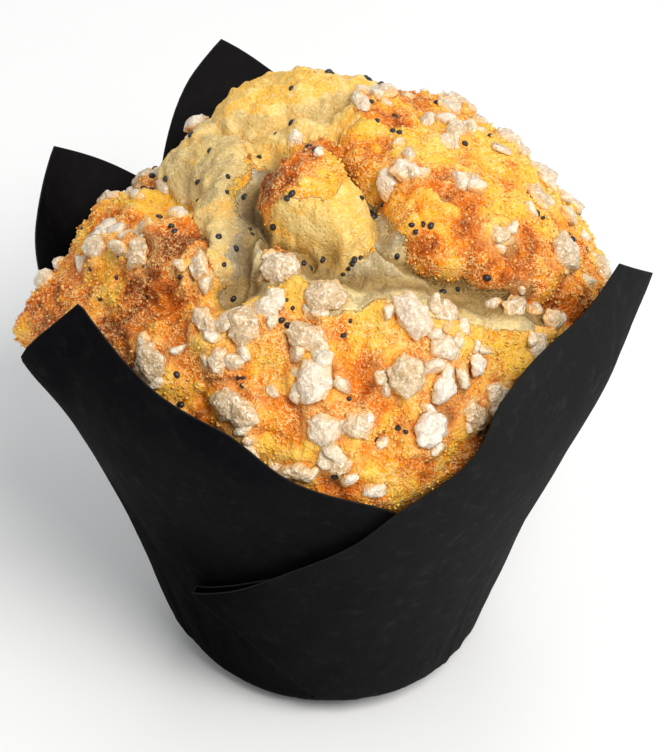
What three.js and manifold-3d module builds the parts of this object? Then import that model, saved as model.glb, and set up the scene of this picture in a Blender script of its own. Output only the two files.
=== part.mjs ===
// A baked muffin with sugar nibs, standing in its folded paper tulip case.
// Millimetres, +Z up, origin at the middle of the flat base that the case stands on.
// Azimuths are in degrees, anticlockwise from +X seen from above. The front of the muffin is -Y.

import * as THREE from 'three';
import { mergeVertices } from 'three/addons/utils/BufferGeometryUtils.js';
import Module from 'manifold-3d';

const wasm = await Module();
wasm.setup();

const DEG = Math.PI / 180;

// ---------------------------------------------------------------- driving dimensions

// Tulip case: one square sheet, about 160 mm a side, pressed over a 50 mm base.
const BASE_RADIUS = 25;
const BASE_FILLET = 8;
const WALL_TAPER = 0.271; // radius gained per millimetre of height
const WALL_FLARE = 3; // extra radius at FLARE_HEIGHT above the fillet
const FLARE_HEIGHT = 60;
const FLARE_END = 66; // above this the wall turns back towards upright
const TOP_TAPER = 0.33;
const TOP_CURL = 0.0145;
const PAPER = 0.35;
const LAYER_STEP = 0.85; // radial distance between the layers of a pleat
const PLEAT_START = 6; // height at which a pleat's layers begin to overlap
const PLEAT_FADE = 3; // below this height the paper has no pleat
const OPEN_RATE = 1.2; // degrees per millimetre that a pleat opens below PLEAT_START
const FOLD_OPENING = 3; // height over which a fold opens to its full half circle
const OVERLAP_RUN = 0.6; // share of a petal over which its layers draw apart
const EDGE_FLARE = 0.8; // how far an outer layer's free edge stands off
const EDGE_FLARE_DEPTH = 9;
const SHEET_TOP = 95; // higher than any of the paper
const EDGE_HALVINGS = 30;
const COLUMN_STEP = 10; // degrees between columns of the case
const FOLD_STEPS = 3; // columns round one fold
const MIDDLE_STEP = 9;
const WALL_ROWS = 8;
const FLAT_SHARE = 0.55; // innermost ring of the base, as a share of its flat radius
const FLAT_ROWS = 2; // rings of the case that lie flat on the table
const FOOT_ANGLES = [0, 25, 50, 75]; // rings round the case's fillet, in degrees

// Muffin: lower body inside the case, and a dome over it.
const BODY_CLEARANCE = 1.6; // between the lower body and the paper's own surface
const BODY_FLOOR = 1;
const BODY_FLAT_SHARE = 0.5;
const BODY_ANGLES = [0, 30, 60, 85];
const BODY_HEIGHTS = [16, 26, 36, 44];
const DOME_CENTRE = 50; // height of the dome's centre
const DOME_X = 43.5;
const DOME_Y = 42;
const DOME_Z = 42;
const BODY_COLUMNS = 56;
const DOME_ROWS = 19;
const DOME_START = 2; // elevation of the lowest dome row, in degrees
const OVERHANG_HEIGHT = 57; // where the dome may pass over a low edge of the case
const OVERHANG = 8;
const OVERHANG_START = 1; // height above the paper's edge where the dome begins to pass over it
const OVERHANG_FULL = 5;
const EDGE_MARGIN = 6; // degrees that the overhang keeps from paper that stands higher

// Sugar nibs
const NIB_THICKNESS = 0.62; // of the mean of width and height
const NIB_SINK = 0.28; // part of the thickness that lies under the crust
const NIB_GAP = 0.4; // between a nib and the pocket it sits in
const NIB_SPACING = 1;
const LOOSE_NIBS = 21; // on the sides and the back
const LOOSE_SEED = 71;
const LOOSE_AZIMUTHS = [-14, 205];
const LOOSE_ELEVATIONS = [24, 68];
const LOOSE_SIZES = [3.6, 6.2];
const LOOSE_ROUNDNESS = 0.7; // least height of a loose nib as a share of its width
const NIB_CORNER = 0.95; // least reach of a nib's corner, as a share of its half size
const NIB_RAGGED = 0.27; // how much further a corner may reach
const SAME_CORNER = 0.001; // corners of a nib nearer than this are one
// The lobes that burst through behind the left of the face carry no nibs.
const BARE_AZIMUTHS = [70, 185];
const BARE_ELEVATION = 42;

// Four corners of the sheet, anticlockwise: azimuth, height and lean of each tip.
const PETALS = [
  { azimuth: -19, height: 82 },
  { azimuth: 110, height: 78.5 },
  { azimuth: 151, height: 75 },
  { azimuth: 215, height: 83 },
];

// One pleat between each two petals. first and second are the tops of its two folds as
// [azimuth, height]; base is its azimuth at the foot. side is 1 where the anticlockwise petal
// lies outside. fall and rise are points of the paper's edge, down from the clockwise petal's
// tip and up to the anticlockwise petal's tip.
const PLEATS = [
  {
    base: 43, side: -1, first: [62, 34], second: [28, 48],
    fall: [[-6, 73], [14, 60], [40, 47]],
    rise: [[44, 52], [68, 58], [92, 67]],
  },
  {
    base: 129, side: 1, first: [139, 53], second: [118, 50],
    fall: [[117, 73.8], [126, 64.9], [130, 60]],
    rise: [[124, 55], [131, 60.8], [140, 67.6]],
  },
  {
    base: 184, side: 1, first: [200, 45], second: [171, 36],
    fall: [[158, 71.2], [174, 64], [179, 55], [190, 48]],
    rise: [[180, 43], [194, 53], [204, 67], [209, 74]],
  },
  {
    base: 266, side: 1, first: [290, 54], second: [233, 30],
    fall: [[232, 79], [251, 74.5], [264, 66.5], [280, 60]],
    rise: [[249, 37], [275, 53], [283, 60.5], [297, 69], [302, 76], [311, 79.5]],
  },
];

// How far the paper leans out or in from the plain wall, at LEAN_HEIGHT, by azimuth.
const LEAN_HEIGHT = 80;
const LEAN_START = 52;
const LEAN_CAP = 1.2;
const LEANS = [
  [-45, -3.6], [-19, -2.2], [0, 1.5], [46, 0], [110, 3], [151, 2], [184, 0], [207, 4.5], [216, -3.4], [243, -3],
];

// Places where the paper bellies out: [azimuth, height, how far, reach in degrees, reach in height].
const BELLIES = [[-22, 60, 0.9, 18, 16], [206, 57, 0.8, 16, 14], [160, 62, 0.7, 14, 14]];

// Swellings and hollows of the dome: [azimuth, elevation, rise, reach across, reach up].
const SWELLINGS = [
  [100, 57, 4, 13, 9],
  [-20, 58, 1.6, 20, 15],
  [-110, 75, 2.2, 8, 6],
  [187, 16, 3.9, 8, 9],
  [50, 12, 1.5, 12, 8],
  [178, 54, -4, 7, 7],
  [147, 35, -6, 8, 8],
  [55, 44, 0.8, 9, 9],
  [-90, 30, 0.8, 22, 10],
];

// Cracks in the crust: points as [azimuth, elevation], with their depth and half width.
const CRACKS = [
  { depth: 2.4, width: 2.4, points: [[172, 71], [-134, 66], [-122, 54]] },
  { depth: 3, width: 2.8, points: [[-120, 53], [-112, 61], [-89, 60], [-68, 55], [-46, 49], [-30, 40]] },
  { depth: 2, width: 2, points: [[-50, 81], [-61, 70]] },
];

// Sugar nibs on the front: [azimuth, elevation, width, height, turn in degrees].
const FRONT_NIBS = [
  [-109, 60, 6, 5.6, 20], [-91, 55, 6.3, 5.4, 0], [-108, 51, 3.6, 3.6, 40], [-124, 45, 5.6, 3.2, -35],
  [-113, 46.5, 5.8, 5.4, 45], [-117, 39.5, 3.4, 4.4, 10], [-96.5, 47, 6, 4, -10], [-93, 39, 5.2, 6, 0],
  [-136, 54, 3.9, 4.2, 0], [-110, 32, 7, 4.6, -8], [-91, 30.5, 5, 5, 30], [-84, 31, 4.2, 3.8, 0],
  [-88, 24, 4.4, 4, 15], [-107, 25, 4.2, 3, 0], [-97, 22, 5.4, 2.8, 5], [-66, 49, 5.2, 7.2, 10],
  [-57, 47.5, 3.6, 4.2, 0], [-72, 39, 6.4, 6, 25], [-61, 41.5, 4.8, 3.8, 0], [-63.5, 35.5, 3, 6.6, -38],
  [-54.5, 37, 2.9, 5, -12], [-52, 30, 4, 4.2, 0], [-58.5, 28, 3.8, 4.2, 20], [-69, 28, 6.2, 5.2, 30],
  [-35, 41, 4.8, 4.2, 0], [-29, 34.5, 3.6, 4, 20], [-37, 34, 3.4, 3.4, 0], [-27, 53, 4, 3.8, 0],
  [-28, 74, 4.4, 4, 5], [25, 63, 5, 3.2, -20], [0, 47, 4.4, 3.4, 25], [68, 68, 6, 2.6, 0],
  [-165, 50, 3, 3.4, 0], [-157, 47.5, 5, 4.8, 60], [-172, 39, 6, 3.2, 15], [-133, 34, 5.6, 6.4, 45],
];

// ---------------------------------------------------------------- small helpers

const lerp = (a, b, t) => a + (b - a) * t;
const clamp = (x, low, high) => Math.min(Math.max(x, low), high);

function smoothstep(low, high, x) {
  const t = clamp((x - low) / (high - low), 0, 1);
  return t * t * (3 - 2 * t);
}

// Straight-line interpolation through a list of [x, y] points with rising x.
function follow(points, x) {
  let k = 1;
  while (k < points.length - 1 && points[k][0] < x) k += 1;
  const [x0, y0] = points[k - 1];
  const [x1, y1] = points[k];
  return lerp(y0, y1, (x - x0) / (x1 - x0));
}

// The same numbers on every run, between 0 and 1.
function makeRandom(seed) {
  let state = seed;
  return () => {
    state = (state * 1664525 + 1013904223) % 4294967296;
    return state / 4294967296;
  };
}

// A geometry from a list of [x, y, z] points and a list of corner triples.
function geometryFrom(points, corners) {
  const geometry = new THREE.BufferGeometry();
  geometry.setAttribute('position', new THREE.Float32BufferAttribute(points.flat(), 3));
  geometry.setIndex(corners.flat());
  return geometry;
}

// ---------------------------------------------------------------- wall of the case

const TAPER_ANGLE = Math.atan(WALL_TAPER);
const TAPER_START = BASE_FILLET * (1 - Math.sin(TAPER_ANGLE));
const TAPER_RADIUS = BASE_RADIUS - BASE_FILLET * (1 - Math.cos(TAPER_ANGLE));

// Radius of the plain wall: an arc at the foot, a flaring cone, then a curl back to upright.
function wallRadius(z) {
  if (z < TAPER_START) {
    const below = BASE_FILLET - z;
    return BASE_RADIUS - BASE_FILLET + Math.sqrt(Math.max(BASE_FILLET ** 2 - below ** 2, 0));
  }
  const rise = Math.min(z, FLARE_END) - TAPER_START;
  const over = Math.max(z - FLARE_END, 0);
  return TAPER_RADIUS + WALL_TAPER * rise + WALL_FLARE * (rise / FLARE_HEIGHT) ** 2
    + TOP_TAPER * over - TOP_CURL * over ** 2;
}

// Lean of the paper at an azimuth and a height, growing with the square of the height.
function paperLean(azimuth, z) {
  const from = LEANS[0][0];
  const turned = ((azimuth - from) % 360 + 360) % 360 + from;
  const closed = [...LEANS, [from + 360, LEANS[0][1]]];
  const share = Math.max(z - LEAN_START, 0) / (LEAN_HEIGHT - LEAN_START);
  let lean = follow(closed, turned) * Math.min(share ** 2, LEAN_CAP);
  BELLIES.forEach(([middle, height, out, across, up]) => {
    const aside = ((azimuth - middle + 180) % 360 + 360) % 360 - 180;
    lean += out * Math.exp(-((aside / across) ** 2) - ((z - height) / up) ** 2);
  });
  return lean;
}

// ---------------------------------------------------------------- tulip case

// Azimuth of a fold at a height: straight from the pleat's foot to its top, and on past it.
function foldAzimuth(base, top, z, open) {
  if (z < PLEAT_START) return base - open * OPEN_RATE * (PLEAT_START - z);
  return lerp(base, top[0], (z - PLEAT_START) / (top[1] - PLEAT_START));
}

// Columns of the case between two petal tips. Each is a function of height that gives
// [azimuth, radial offset], with the paper's edge that it runs up to.
function pleatColumns(pleat, start, end) {
  const { base, side, first, second } = pleat;
  const firstAt = (z) => foldAzimuth(base, first, z, 1);
  const secondAt = (z) => foldAzimuth(base, second, z, -1);
  const depth = (z) => LAYER_STEP * smoothstep(PLEAT_FADE, PLEAT_START, z);
  const opening = (z) => smoothstep(PLEAT_START, PLEAT_START + FOLD_OPENING, z);
  const round = (z) => depth(z) / 2 * opening(z) / wallRadius(z) / DEG;
  const fallEdge = [[start.azimuth, start.height], ...pleat.fall, first];
  const riseEdge = [second, ...pleat.rise, [end.azimuth, end.height]];
  const middleEdge = [second, first];
  const columns = [];

  const outward = (z, t, layer) => layer * side * depth(z) * smoothstep(0, OVERLAP_RUN, t);
  const fallCount = Math.ceil((first[0] - start.azimuth) / COLUMN_STEP);
  for (let k = 0; k < fallCount; k += 1) {
    const t = k / fallCount;
    const at = (z) => [lerp(start.azimuth, firstAt(z), t), outward(z, t, -1)];
    columns.push({ at, edge: fallEdge, free: side < 0 ? t : 0 });
  }
  for (let k = 0; k <= FOLD_STEPS; k += 1) {
    const turn = Math.PI * k / FOLD_STEPS;
    const at = (z) => [firstAt(z) + round(z) * Math.sin(turn), -side * depth(z) * (1 + Math.cos(turn)) / 2];
    columns.push({ at, top: first[1], free: 0 });
  }
  const middleCount = Math.ceil((first[0] - second[0]) / MIDDLE_STEP);
  for (let k = 1; k < middleCount; k += 1) {
    const t = k / middleCount;
    const at = (z) => [lerp(firstAt(z), secondAt(z), t), 0];
    columns.push({ at, edge: middleEdge, free: 0 });
  }
  for (let k = 0; k <= FOLD_STEPS; k += 1) {
    const turn = Math.PI * k / FOLD_STEPS;
    const at = (z) => [secondAt(z) - round(z) * Math.sin(turn), side * depth(z) * (1 - Math.cos(turn)) / 2];
    columns.push({ at, top: second[1], free: 0 });
  }
  const riseCount = Math.ceil((end.azimuth - second[0]) / COLUMN_STEP);
  for (let k = 1; k < riseCount; k += 1) {
    const t = k / riseCount;
    const at = (z) => [lerp(secondAt(z), end.azimuth, t), outward(z, 1 - t, 1)];
    columns.push({ at, edge: riseEdge, free: side > 0 ? 1 - t : 0 });
  }
  return columns;
}

// Height at which a column meets the paper's edge, found by halving.
function columnTop(column) {
  if (column.top) return column.top;
  let low = PLEAT_START;
  let high = SHEET_TOP;
  for (let k = 0; k < EDGE_HALVINGS; k += 1) {
    const z = (low + high) / 2;
    const edge = follow(column.edge, column.at(z)[0]);
    if (edge > z) low = z;
    else high = z;
  }
  return low;
}

// Points of the paper's middle surface, one list of rows for each column.
function caseColumns() {
  const count = PETALS.length;
  const columns = PLEATS.flatMap((pleat, k) => {
    const next = PETALS[(k + 1) % count];
    const end = { azimuth: next.azimuth + (k + 1 === count ? 360 : 0), height: next.height };
    return pleatColumns(pleat, PETALS[k], end);
  });
  const footAngles = FOOT_ANGLES.map((angle) => angle * DEG);
  const footInset = BASE_RADIUS - BASE_FILLET;
  return columns.map((column) => {
    const top = columnTop(column);
    const rows = [];
    const place = (r, z) => {
      const [azimuth, offset] = column.at(z);
      const flare = column.free * EDGE_FLARE * smoothstep(top - EDGE_FLARE_DEPTH, top, z)
        * smoothstep(PLEAT_START, PLEAT_START + EDGE_FLARE_DEPTH, z);
      const radius = r + offset + flare + paperLean(azimuth, z);
      rows.push([radius * Math.cos(azimuth * DEG), radius * Math.sin(azimuth * DEG), z]);
    };
    const half = PAPER / 2;
    const inner = BASE_FILLET - half;
    place(footInset * FLAT_SHARE, half);
    footAngles.forEach((angle) => place(footInset + inner * Math.sin(angle), BASE_FILLET - inner * Math.cos(angle)));
    for (let k = 0; k <= WALL_ROWS; k += 1) {
      const z = lerp(BASE_FILLET, top, k / WALL_ROWS);
      place(wallRadius(z) - half, z);
    }
    return rows;
  });
}

// Normal of the paper at one point of the grid, from its neighbours.
function gridNormal(columns, i, j) {
  const count = columns.length;
  const rows = columns[i].length;
  const point = (a, b) => new THREE.Vector3(...columns[(a + count) % count][clamp(b, 0, rows - 1)]);
  const across = point(i + 1, j).sub(point(i - 1, j));
  const upward = point(i, j + 1).sub(point(i, j - 1));
  return across.cross(upward).normalize();
}

// The case as one closed skin: outside, inside and the cut edge between them.
function makeCase() {
  const columns = caseColumns();
  const count = columns.length;
  const rows = columns[0].length;
  const points = [];
  const corners = [];
  for (const way of [1, -1]) {
    for (let i = 0; i < count; i += 1) {
      for (let j = 0; j < rows; j += 1) {
        const normal = gridNormal(columns, i, j);
        const [x, y, z] = columns[i][j];
        const shift = way * PAPER / 2;
        const flat = j < FLAT_ROWS;
        if (flat) points.push([x, y, way > 0 ? 0 : PAPER]);
        else points.push([x + normal.x * shift, y + normal.y * shift, z + normal.z * shift]);
      }
    }
  }
  const outer = (i, j) => (i % count) * rows + j;
  const inner = (i, j) => count * rows + outer(i, j);
  const outerPole = points.push([0, 0, 0]) - 1;
  const innerPole = points.push([0, 0, PAPER]) - 1;
  for (let i = 0; i < count; i += 1) {
    corners.push([outerPole, outer(i + 1, 0), outer(i, 0)]);
    corners.push([innerPole, inner(i, 0), inner(i + 1, 0)]);
    for (let j = 0; j < rows - 1; j += 1) {
      corners.push([outer(i, j), outer(i + 1, j), outer(i + 1, j + 1)]);
      corners.push([outer(i, j), outer(i + 1, j + 1), outer(i, j + 1)]);
      corners.push([inner(i, j), inner(i + 1, j + 1), inner(i + 1, j)]);
      corners.push([inner(i, j), inner(i, j + 1), inner(i + 1, j + 1)]);
    }
    const top = rows - 1;
    corners.push([outer(i, top), outer(i + 1, top), inner(i + 1, top)]);
    corners.push([outer(i, top), inner(i + 1, top), inner(i, top)]);
  }
  return geometryFrom(points, corners);
}

// ---------------------------------------------------------------- muffin

// Unit vector at an azimuth and an elevation.
function direction(azimuth, elevation) {
  const level = Math.cos(elevation * DEG);
  return new THREE.Vector3(
    level * Math.cos(azimuth * DEG),
    level * Math.sin(azimuth * DEG),
    Math.sin(elevation * DEG),
  );
}

const DOME_RADII = new THREE.Vector3(DOME_X, DOME_Y, DOME_Z);

// Distance from the dome's centre to the plain ellipsoid along a unit vector.
function plainRadius(way) {
  return 1 / way.clone().divide(DOME_RADII).length();
}

// Height that one swelling adds: a bell shape in the plane that touches the dome at its middle.
function swellingRise(way, [azimuth, elevation, rise, across, up]) {
  const middle = direction(azimuth, elevation);
  if (way.dot(middle) <= 0) return 0;
  const east = direction(azimuth + 90, 0);
  const north = new THREE.Vector3().crossVectors(middle, east);
  const x = DOME_Z * way.dot(east) / across;
  const y = DOME_Z * way.dot(north) / up;
  return rise * Math.exp(-x * x - y * y);
}

// Depth of one crack: a bell shape across the nearest stretch of its line.
function crackDepth(way, crack) {
  const here = way.clone().multiplyScalar(DOME_Z);
  let nearest = Infinity;
  for (let k = 1; k < crack.points.length; k += 1) {
    const from = direction(...crack.points[k - 1]).multiplyScalar(DOME_Z);
    const to = direction(...crack.points[k]).multiplyScalar(DOME_Z);
    const line = new THREE.Line3(from, to);
    const closest = line.closestPointToPoint(here, true, new THREE.Vector3());
    nearest = Math.min(nearest, closest.distanceTo(here));
  }
  return crack.depth * Math.exp(-((nearest / crack.width) ** 2));
}

// Distance from the dome's centre to the crust along a unit vector.
function crustRadius(way) {
  let radius = plainRadius(way);
  SWELLINGS.forEach((swelling) => { radius += swellingRise(way, swelling); });
  CRACKS.forEach((crack) => { radius -= crackDepth(way, crack); });
  return radius;
}

// Height of the paper's edge at an azimuth: the lower of the two petals' edges beside a pleat.
function paperEdge(azimuth) {
  const turned = ((azimuth - PETALS[0].azimuth) % 360 + 360) % 360 + PETALS[0].azimuth;
  const count = PETALS.length;
  let k = 0;
  while (k < count - 1 && PETALS[k + 1].azimuth <= turned) k += 1;
  const end = PETALS[(k + 1) % count];
  const endAzimuth = end.azimuth + (k + 1 === count ? 360 : 0);
  const fall = [[PETALS[k].azimuth, PETALS[k].height], ...PLEATS[k].fall, PLEATS[k].first];
  const rise = [PLEATS[k].second, ...PLEATS[k].rise, [endAzimuth, end.height]];
  const falling = turned < PLEATS[k].first[0] ? follow(fall, turned) : 0;
  const rising = turned > PLEATS[k].second[0] ? follow(rise, turned) : 0;
  return Math.max(falling, rising);
}

// A point of the dome's surface, drawn in where the paper stands beside it.
function crustPoint(azimuth, elevation) {
  const way = direction(azimuth, elevation);
  const point = way.multiplyScalar(crustRadius(way));
  point.z += DOME_CENTRE;
  const reach = Math.hypot(point.x, point.y);
  const lean = Math.min(paperLean(azimuth, point.z), 0);
  const edges = [-EDGE_MARGIN, 0, EDGE_MARGIN].map((aside) => paperEdge(azimuth + aside));
  const above = point.z - Math.max(...edges, OVERHANG_HEIGHT);
  const free = smoothstep(OVERHANG_START, OVERHANG_FULL, above);
  const room = wallRadius(point.z) + lean - BODY_CLEARANCE + OVERHANG * free;
  if (reach > room) {
    point.x *= room / reach;
    point.y *= room / reach;
  }
  return point.toArray();
}

// The muffin in one piece: a body that fills the case, and the risen dome.
function makeMuffin() {
  const rings = [];
  const ring = (place) => {
    const points = [];
    for (let i = 0; i < BODY_COLUMNS; i += 1) points.push(place(360 * i / BODY_COLUMNS));
    rings.push(points);
  };
  const bodyRing = (r, z) => ring((azimuth) => [r * Math.cos(azimuth * DEG), r * Math.sin(azimuth * DEG), z]);
  const filletMiddle = BASE_RADIUS - BASE_FILLET;
  const fillet = BASE_FILLET - BODY_CLEARANCE;
  const filletHeight = BODY_FLOOR + fillet;
  bodyRing(filletMiddle * BODY_FLAT_SHARE, BODY_FLOOR);
  for (const angle of BODY_ANGLES) {
    bodyRing(filletMiddle + fillet * Math.sin(angle * DEG), filletHeight - fillet * Math.cos(angle * DEG));
  }
  for (const z of BODY_HEIGHTS) bodyRing(wallRadius(z) - BODY_CLEARANCE, z);
  for (let j = 0; j < DOME_ROWS; j += 1) {
    const elevation = lerp(DOME_START, 90, j / DOME_ROWS);
    ring((azimuth) => crustPoint(azimuth, elevation));
  }
  const points = rings.flat();
  const corners = [];
  const at = (i, j) => j * BODY_COLUMNS + (i % BODY_COLUMNS);
  const foot = points.push([0, 0, BODY_FLOOR]) - 1;
  const crown = points.push([0, 0, DOME_CENTRE + crustRadius(direction(0, 90))]) - 1;
  const last = rings.length - 1;
  for (let i = 0; i < BODY_COLUMNS; i += 1) {
    corners.push([foot, at(i + 1, 0), at(i, 0)]);
    corners.push([crown, at(i, last), at(i + 1, last)]);
    for (let j = 0; j < last; j += 1) {
      corners.push([at(i, j), at(i + 1, j), at(i + 1, j + 1)]);
      corners.push([at(i, j), at(i + 1, j + 1), at(i, j + 1)]);
    }
  }
  return geometryFrom(points, corners);
}

// ---------------------------------------------------------------- sugar nibs

// Where the crust lies at an azimuth and an elevation, as a vector.
function crustSeat(azimuth, elevation) {
  return new THREE.Vector3(...crustPoint(azimuth, elevation));
}

// A rough crystal: an icosahedron with its corners pushed in and out, sized in three directions.
// grow adds to every half size, for the pocket that the nib sits in.
function makeNib([azimuth, elevation, width, height, turn], seed, grow) {
  const random = makeRandom(seed);
  const thickness = NIB_THICKNESS * (width + height) / 2;
  const outward = direction(azimuth, elevation);
  const east = direction(azimuth + 90, 0);
  const north = new THREE.Vector3().crossVectors(outward, east);
  const frame = new THREE.Matrix4().makeBasis(east, north, outward);
  frame.multiply(new THREE.Matrix4().makeRotationZ(turn * DEG));
  const lift = thickness * (0.5 - NIB_SINK);
  frame.setPosition(crustSeat(azimuth, elevation).addScaledVector(outward, lift));
  const crystal = new THREE.IcosahedronGeometry(1, 0);
  crystal.deleteAttribute('normal');
  crystal.deleteAttribute('uv');
  const geometry = mergeVertices(crystal, SAME_CORNER);
  const place = geometry.getAttribute('position');
  const corner = new THREE.Vector3();
  for (let k = 0; k < place.count; k += 1) {
    corner.fromBufferAttribute(place, k).multiplyScalar(NIB_CORNER + NIB_RAGGED * random());
    corner.x *= width / 2 + grow;
    corner.y *= height / 2 + grow;
    corner.z *= thickness / 2 + grow;
    corner.applyMatrix4(frame);
    place.setXYZ(k, corner.x, corner.y, corner.z);
  }
  return geometry;
}

// True where a nib stands clear of every nib in a list.
function standsClear([azimuth, elevation, width], others) {
  const here = crustSeat(azimuth, elevation);
  return others.every((other) => {
    const apart = here.distanceTo(crustSeat(other[0], other[1]));
    return apart > (width + Math.max(other[2], other[3])) / 2 + NIB_SPACING;
  });
}

// True on the lobes that carry no nibs.
function onBareLobe([azimuth, elevation]) {
  return azimuth > BARE_AZIMUTHS[0] && azimuth < BARE_AZIMUTHS[1] && elevation > BARE_ELEVATION;
}

// Nibs on the sides and the back, scattered where they stand clear of the ones before them.
function looseNibs(placed) {
  const random = makeRandom(LOOSE_SEED);
  const nibs = [];
  while (nibs.length < LOOSE_NIBS) {
    const azimuth = lerp(...LOOSE_AZIMUTHS, random());
    const elevation = lerp(...LOOSE_ELEVATIONS, random());
    const width = lerp(...LOOSE_SIZES, random());
    const height = width * lerp(LOOSE_ROUNDNESS, 1, random());
    const nib = [azimuth, elevation, width, height, 180 * random()];
    if (!onBareLobe(nib) && standsClear(nib, [...placed, ...nibs])) nibs.push(nib);
  }
  return nibs;
}

// ---------------------------------------------------------------- cutting

function solidFrom(geometry) {
  const vertProperties = new Float32Array(geometry.getAttribute('position').array);
  const triVerts = new Uint32Array(geometry.getIndex().array);
  return new wasm.Manifold(new wasm.Mesh({ numProp: 3, vertProperties, triVerts }));
}

function geometryOf(solid) {
  const mesh = solid.getMesh();
  const geometry = new THREE.BufferGeometry();
  geometry.setAttribute('position', new THREE.BufferAttribute(mesh.vertProperties, 3));
  geometry.setIndex(new THREE.BufferAttribute(mesh.triVerts, 1));
  return geometry;
}

// ---------------------------------------------------------------- the whole muffin

const paperFinish = new THREE.MeshStandardMaterial({ color: 0x1e1f22, roughness: 0.85, metalness: 0 });
const crustFinish = new THREE.MeshStandardMaterial({ color: 0xe39a45, roughness: 0.8, metalness: 0 });
const sugarFinish = new THREE.MeshStandardMaterial({ color: 0xf3ece0, roughness: 0.35, metalness: 0 });

const group = new THREE.Group();

function addPiece(name, geometry, finish) {
  const mesh = new THREE.Mesh(geometry, finish.clone());
  mesh.name = name;
  group.add(mesh);
}

const nibs = [...FRONT_NIBS, ...looseNibs(FRONT_NIBS)];
let muffin = solidFrom(makeMuffin());
nibs.forEach((nib, k) => {
  muffin = muffin.subtract(solidFrom(makeNib(nib, k + 1, NIB_GAP)));
});

addPiece('tulip_case', makeCase(), paperFinish);
addPiece('muffin', geometryOf(muffin), crustFinish);
nibs.forEach((nib, k) => {
  const name = `sugar_nib_${String(k + 1).padStart(2, '0')}`;
  addPiece(name, makeNib(nib, k + 1, 0), sugarFinish);
});

export default group;
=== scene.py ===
import bpy
import numpy as np
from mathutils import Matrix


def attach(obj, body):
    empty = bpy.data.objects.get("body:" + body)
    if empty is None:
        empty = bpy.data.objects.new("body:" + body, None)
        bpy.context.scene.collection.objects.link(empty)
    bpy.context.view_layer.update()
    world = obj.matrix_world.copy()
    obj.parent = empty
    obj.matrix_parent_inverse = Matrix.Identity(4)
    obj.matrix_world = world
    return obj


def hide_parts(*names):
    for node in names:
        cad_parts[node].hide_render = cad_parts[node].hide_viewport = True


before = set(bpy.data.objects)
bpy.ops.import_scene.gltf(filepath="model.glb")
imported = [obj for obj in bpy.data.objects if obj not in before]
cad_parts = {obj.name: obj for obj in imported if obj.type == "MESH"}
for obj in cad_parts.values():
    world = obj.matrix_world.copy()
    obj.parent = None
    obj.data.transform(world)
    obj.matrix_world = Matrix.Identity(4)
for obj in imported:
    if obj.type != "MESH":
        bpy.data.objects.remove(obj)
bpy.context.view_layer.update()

METRES = 0.001

# ---------------------------------------------------------------- sizes of the paper case

BASE_RADIUS = 25
BASE_FILLET = 8
WALL_TAPER = 0.271  # outward for each millimetre of height
WALL_FLARE = 3  # further out than the taper at FLARE_HEIGHT, growing with the height's square
FLARE_HEIGHT = 60
FLARE_END = 66  # above this the wall goes out by TOP_TAPER, less TOP_CURL times the square
TOP_TAPER = 0.33
TOP_CURL = 0.0145
PAPER = 0.22  # thickness
LAYER_STEP = 0.85  # between the middles of two layers of a pleat
PLEAT_START = 6  # height of a pleat's foot
PLEAT_FADE = 3  # height below which the layers lie in one
PLEAT_PARTS = 5  # stretches of paper along a pleat
OPEN_RATE = 1.2  # degrees that the folds part for each millimetre below the pleat's foot
EDGE_FLARE = 0.8  # how far the outer layer's free edge stands off
EDGE_FLARE_DEPTH = 9
COLUMN_STEP = 1.3  # degrees between columns of the paper's grid
FOLD_COLUMNS = 7
FILLET_ROWS = 9
WALL_ROWS = 64
RIM_DEPTH = 0.3  # the cut edge's own row
HIGHEST_EDGE = 95.0
HALVINGS = 26  # of the range in which a column meets the cut edge

PETALS = [(-19, 82), (110, 78.5), (151, 75), (215, 83)]  # azimuth and height of each tip

# Pleats: azimuth of the foot, which way the layers lie, azimuth and height of the top of each of
# the two folds, and the same along the cut edge, falling to the first and rising from the second.
PLEATS = [
    dict(base=43, side=-1, first=(62, 34), second=(28, 48),
         fall=[(-6, 73), (14, 60), (40, 47)],
         rise=[(44, 52), (68, 58), (92, 67)]),
    dict(base=129, side=1, first=(139, 53), second=(118, 50),
         fall=[(117, 73.8), (126, 64.9), (130, 60)],
         rise=[(124, 55), (131, 60.8), (140, 67.6)]),
    dict(base=184, side=1, first=(200, 45), second=(171, 36),
         fall=[(158, 71.2), (174, 64), (179, 55), (190, 48)],
         rise=[(180, 43), (194, 53), (204, 67), (209, 74)]),
    dict(base=266, side=1, first=(290, 54), second=(233, 30),
         fall=[(232, 79), (251, 74.5), (264, 66.5), (280, 60)],
         rise=[(249, 37), (262, 45), (275, 53), (283, 60.5), (297, 69), (302, 76), (311, 79.5)]),
]

# How far the paper leans out at LEAN_HEIGHT: azimuth, distance.
LEAN_HEIGHT = 80
LEAN_START = 52  # height above which the paper starts to lean
LEANS = [
    (-45, -3.6), (-19, -2.2), (0, 1.5), (46, 0), (110, 3), (151, 2), (184, 0), (207, 4.5),
    (216, -3.4), (243, -3),
]

# Places where the paper bellies out: azimuth, height, how far, and reach in degrees and in height.
BELLIES = [(-22, 60, 0.9, 18, 16), (206, 57, 0.8, 16, 14), (160, 62, 0.7, 14, 14)]

# ---------------------------------------------------------------- sizes of the muffin

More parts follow.
